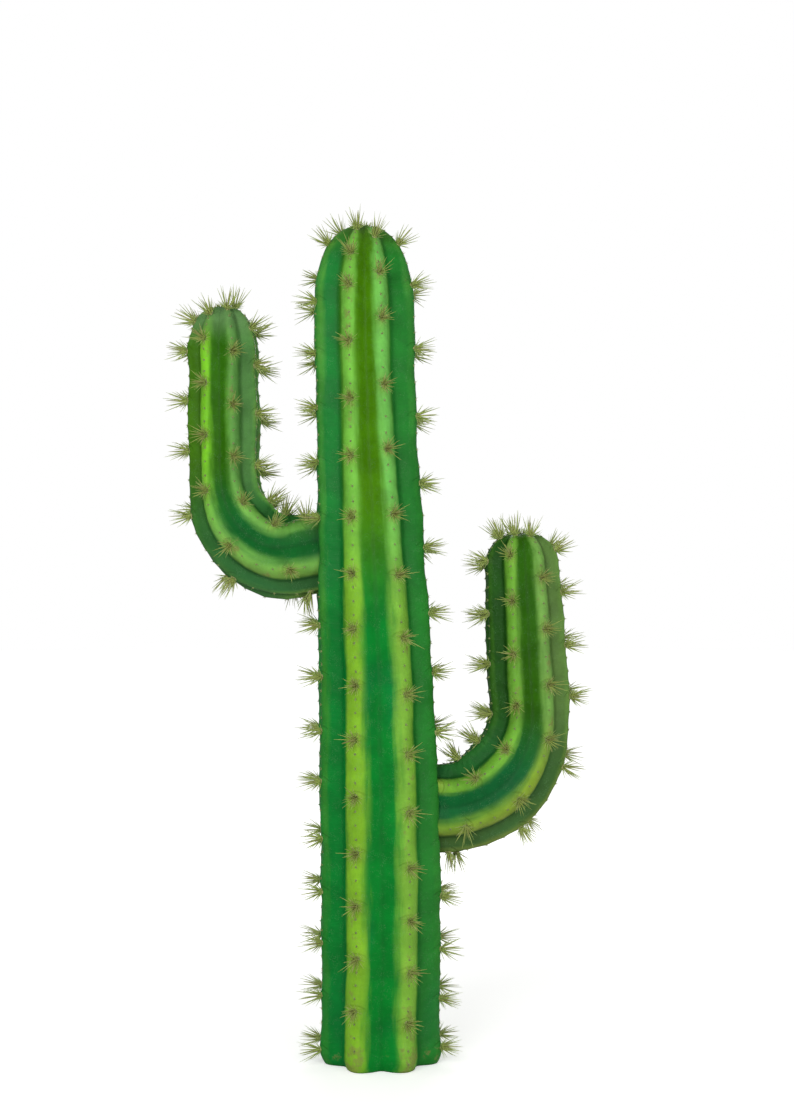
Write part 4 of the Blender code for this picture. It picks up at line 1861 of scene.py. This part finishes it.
FINISHES: dict[str | SpineRole | ClusterRank, Finish] = {
    "trunk": SkinFinish(
        name="trunk skin",
        slot="trunk_skin",
        crest=Corners(
            low=((0.203, 0.445, 0.021), (0.192, 0.430, 0.040)),
            high=((0.162, 0.460, 0.052), (0.145, 0.465, 0.078)),
        ),
        flank=Corners(
            low=((0.0, 0.178, 0.022), (0.016, 0.185, 0.022)),
            high=((0.008, 0.180, 0.026), (0.013, 0.178, 0.020)),
        ),
        front_groove=(0.0, 0.192, 0.019),
        front_groove_high=(0.062, 0.206, 0.001),
        crest_under=(0.165, 0.370, 0.042),
        flank_under=(0.018, 0.170, 0.024),
        # Painted shade on the dome's shoulders.
        tip=(0.060, 0.160, 0.010),
        high_from=(0.50, 0.66),
    ),
    "left_arm": SkinFinish(
        name="left arm skin",
        slot="arm_skin",
        crest=Corners(
            low=((0.163, 0.420, 0.069), (0.163, 0.420, 0.069)),
            # Painted highlight: the high right crest colour is a washed-out grey-green.
            high=((0.168, 0.500, 0.018), (0.110, 0.300, 0.063)),
        ),
        flank=Corners(
            low=((0.020, 0.130, 0.018), (0.020, 0.130, 0.022)),
            # Painted highlight: the high right flank colour is a washed-out grey-green.
            high=((0.048, 0.160, 0.004), (0.073, 0.208, 0.048)),
        ),
        front_groove=(0.004, 0.108, 0.016),
        front_groove_high=(0.028, 0.136, 0.001),
        crest_under=(0.170, 0.300, 0.050),
        flank_under=(0.030, 0.115, 0.030),
        # Painted shade on the dome's shoulders.
        tip=(0.108, 0.235, 0.075),
        high_from=(0.36, 0.56),
        crown_painted_shade_from=(0.84, 0.92),
        crown_painted_shade_strength=(0.9, 0.8),
        # Painted highlight: the right side keeps its washed-out grey-green band.
        side_strength=(0.05, 0.90),
    ),
    "right_arm": SkinFinish(
        name="right arm skin",
        slot="arm_skin",
        crest=Corners(
            low=((0.163, 0.425, 0.038), (0.210, 0.335, 0.024)),
            high=((0.152, 0.390, 0.037), (0.158, 0.345, 0.066)),
        ),
        flank=Corners(
            low=((0.014, 0.120, 0.020), (0.022, 0.115, 0.024)),
            high=((0.011, 0.074, 0.005), (0.094, 0.187, 0.040)),
        ),
        front_groove=(0.003, 0.111, 0.025),
        front_groove_high=(0.024, 0.113, 0.001),
        crest_under=(0.255, 0.310, 0.051),
        flank_under=(0.062, 0.118, 0.026),
        # Painted shade on the dome's shoulders.
        tip=(0.070, 0.162, 0.007),
        high_from=(0.34, 0.54),
        side_strength=(0.04, 0.45),
    ),
    SpineRole.LONG: HornFinish("long spines", "spine", (0.38, 0.40, 0.14), (0.17, 0.15, 0.05)),
    SpineRole.MIDDLE: HornFinish("middle spines", "spine", (0.38, 0.43, 0.14), (0.21, 0.20, 0.06)),
    SpineRole.INNER: HornFinish("inner spines", "spine", (0.38, 0.47, 0.12), (0.23, 0.26, 0.06)),
    SpineRole.RADIAL: HornFinish("radial spines", "spine", (0.39, 0.51, 0.15), (0.25, 0.31, 0.08)),
    SpineRole.BRISTLE: HornFinish("bristles", "spine", (0.36, 0.42, 0.13), (0.24, 0.25, 0.07)),
    ClusterRank.MAIN: FeltFinish("areole felt", "felt", (0.40, 0.43, 0.17), (0.18, 0.19, 0.06)),
    ClusterRank.SMALL: FeltFinish("young felt", "felt", (0.24, 0.30, 0.10), (0.13, 0.16, 0.05)),
}


class Lamp(NamedTuple):
    """A square soft light: its place, the point that it looks at, its size and its watts."""

    name: str
    place: tuple[float, float, float]
    aim: tuple[float, float, float]
    size: float
    power: float


@dataclass
class Studio:
    """A pale floor, soft light from all round and a soft key, and the camera of the photograph."""

    photo_size: tuple[int, int] = (794, 1118)
    metres_per_pixel: float = 0.003846
    axis_pixel: float = 380.5
    ground_pixel: float = 1057.0
    distance: float = 6.6
    sensor_height: float = 36.0
    farthest: float = 200.0
    floor_radius: float = 30.0
    floor_level: float = -0.0015
    floor_rings: int = 24
    floor_sides: int = 96
    world_strength: float = 0.42
    lamps: tuple[Lamp, ...] = (
        Lamp("key", (-2.2, -5.4, 4.0), (0.0, 0.0, 1.6), size=3.2, power=190.0),
        Lamp("fill", (3.2, -5.0, 2.2), (0.0, 0.0, 1.4), size=3.0, power=110.0),
        Lamp("back", (0.6, 5.6, 4.2), (0.0, 0.0, 1.6), size=3.2, power=110.0),
    )

    def build(self) -> None:
        """Makes the camera, the floor, the lights and the surroundings."""
        self.camera()
        self.floor()
        for lamp in self.lamps:
            self.light(lamp)
        self.surroundings()

    def camera(self) -> None:
        """A level camera that puts the trunk's foot where the photograph has it."""
        width, height = self.photo_size
        data = bpy.data.cameras.new("camera")
        data.sensor_fit = "VERTICAL"
        data.sensor_height = self.sensor_height
        data.lens = self.distance / self.metres_per_pixel / height * data.sensor_height
        data.clip_end = self.farthest
        camera = bpy.data.objects.new("camera", data)
        across = (width / 2.0 - self.axis_pixel) * self.metres_per_pixel
        up = (self.ground_pixel - height / 2.0) * self.metres_per_pixel
        camera.location = (across, -self.distance, up)
        camera.rotation_euler = (math.radians(90.0), 0.0, 0.0)
        bpy.context.scene.collection.objects.link(camera)
        bpy.context.scene.camera = camera

    def floor(self) -> None:
        """A wide round floor: a polar grid whose rings stand at the squares of even shares."""
        sides = self.floor_sides
        radius = np.linspace(0.0, 1.0, self.floor_rings)[1:, None] ** 2 * self.floor_radius
        turn = np.arange(sides) * math.tau / sides
        level = np.full((len(radius), sides), self.floor_level)
        points = np.stack([radius * np.cos(turn), radius * np.sin(turn), level], axis=-1)
        points = np.concatenate([points.reshape(-1, 3), [[0.0, 0.0, self.floor_level]]])
        around = np.arange(sides)
        fan = np.stack([np.full(sides, len(points) - 1), around, (around + 1) % sides], axis=-1)
        floor = Grid(points, tube_faces(len(radius), sides)[:, ::-1], fan).make("floor")
        floor.data.materials.append(FloorFinish("pale floor", slot="").material())

    def light(self, lamp: Lamp) -> None:
        """Hangs one soft light and turns it to its aim.

        Args:
            lamp: the light.
        """
        data = bpy.data.lights.new(lamp.name, "AREA")
        data.shape = "SQUARE"
        data.size = lamp.size
        data.energy = lamp.power
        light = bpy.data.objects.new(lamp.name, data)
        light.location = lamp.place
        away = np.subtract(lamp.place, lamp.aim)
        pitch = math.atan2(math.hypot(away[0], away[1]), away[2])
        light.rotation_euler = (pitch, 0.0, math.atan2(away[0], -away[1]))
        bpy.context.scene.collection.objects.link(light)

    def surroundings(self) -> None:
        """White all round, a little dimmer as light than as it looks."""
        world = bpy.data.worlds.new("white surroundings")
        world.use_nodes = True
        bpy.context.scene.world = world
        tree = world.node_tree
        back = tree.nodes["Background"]
        back.inputs["Color"].default_value = (1.0, 1.0, 1.0, 1.0)
        sheet = NodeSheet(tree)
        seen = sheet.add("ShaderNodeLightPath").outputs["Is Camera Ray"]
        strength = sheet.line(seen, 1.0 - self.world_strength, self.world_strength)
        sheet.feed(back.inputs["Strength"], strength)
        settings = bpy.context.scene.view_settings
        settings.view_transform = "Standard"
        settings.look = "None"


class Plant:
    """The whole cactus: its limbs, their skins and their armour."""

    def limbs(self) -> list[Limb]:
        """Makes the limbs with the solids' own sizes.

        Returns:
            The trunk, the left arm and the right arm.
        """
        trunk = Trunk(
            name="trunk",
            dome_height=0.30,
            dome_fullness=2.2,
            crowns={1: 0.70, 2: 0.32, 5: 0.42, 6: 0.70},
            nodes=("trunk",),
            skin_start=0.0,
            seed=11,
        )
        left = Arm(
            name="left_arm",
            dome_height=0.19,
            crowns={7: 0.50},
            nodes=("left_arm_lower", "left_arm_upper"),
            seed=12,
            side=-1,
            root_height=1.968,
            root_slope=-8.4,
            bend_start=0.289,
            bend_length=0.513,
            bend_power=1.58,
            upright_lean=-0.6,
            top_height=2.892,
            radii=(0.158, 0.160, 0.139, 0.138),
            neck_depth=0.76,
            rib_turns=(-27.0, 3.5),
            root_spread=0.44,
            top_cluster_drop=0.157,
        )
        right = Arm(
            name="right_arm",
            dome_height=0.125,
            crowns={0: 0.50},
            nodes=("right_arm_lower", "right_arm_upper"),
            seed=13,
            side=1,
            root_height=0.947,
            root_slope=1.1,
            bend_start=0.237,
            bend_length=0.595,
            bend_power=1.13,
            upright_lean=3.0,
            top_height=2.016,
            radii=(0.173, 0.180, 0.162, 0.147),
            neck_depth=0.62,
            rib_turns=(-10.0, 2.0),
            root_spread=0.20,
            top_cluster_drop=0.227,
        )
        return [trunk, left, right]

    def build(self) -> None:
        """Makes, dresses and places every piece."""
        limbs = self.limbs()
        armour = Armour(limbs)
        looks = {part: (finish.material(), finish.slot) for part, finish in FINISHES.items()}
        for limb in limbs:
            skin = Skin(limb).build()
            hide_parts(*limb.nodes)
            self.dress(skin, *looks[limb.name])
            for part, piece in armour.grow(limb).items():
                self.dress(piece, *looks[part])

    @staticmethod
    def dress(piece: bpy.types.Object, material: bpy.types.Material, slot: str) -> None:
        """Gives a piece its material, and lets it ride on the plant's body.

        Args:
            piece: the piece.
            material: its material.
            slot: the record's material slot; not used.
        """
        piece.data.materials.append(material)
        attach(piece, "root")
        triangles = sum(len(polygon.vertices) - 2 for polygon in piece.data.polygons)
        LOG.info("%s: %d triangles", piece.name, triangles)


def write_sizes() -> None:
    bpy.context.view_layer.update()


def main() -> None:
    """Builds the plant and the studio round it."""
    logging.basicConfig(level=logging.INFO, format="%(name)s: %(message)s")
    Plant().build()
    Studio().build()
    write_sizes()


if __name__ == "__main__":
    main()
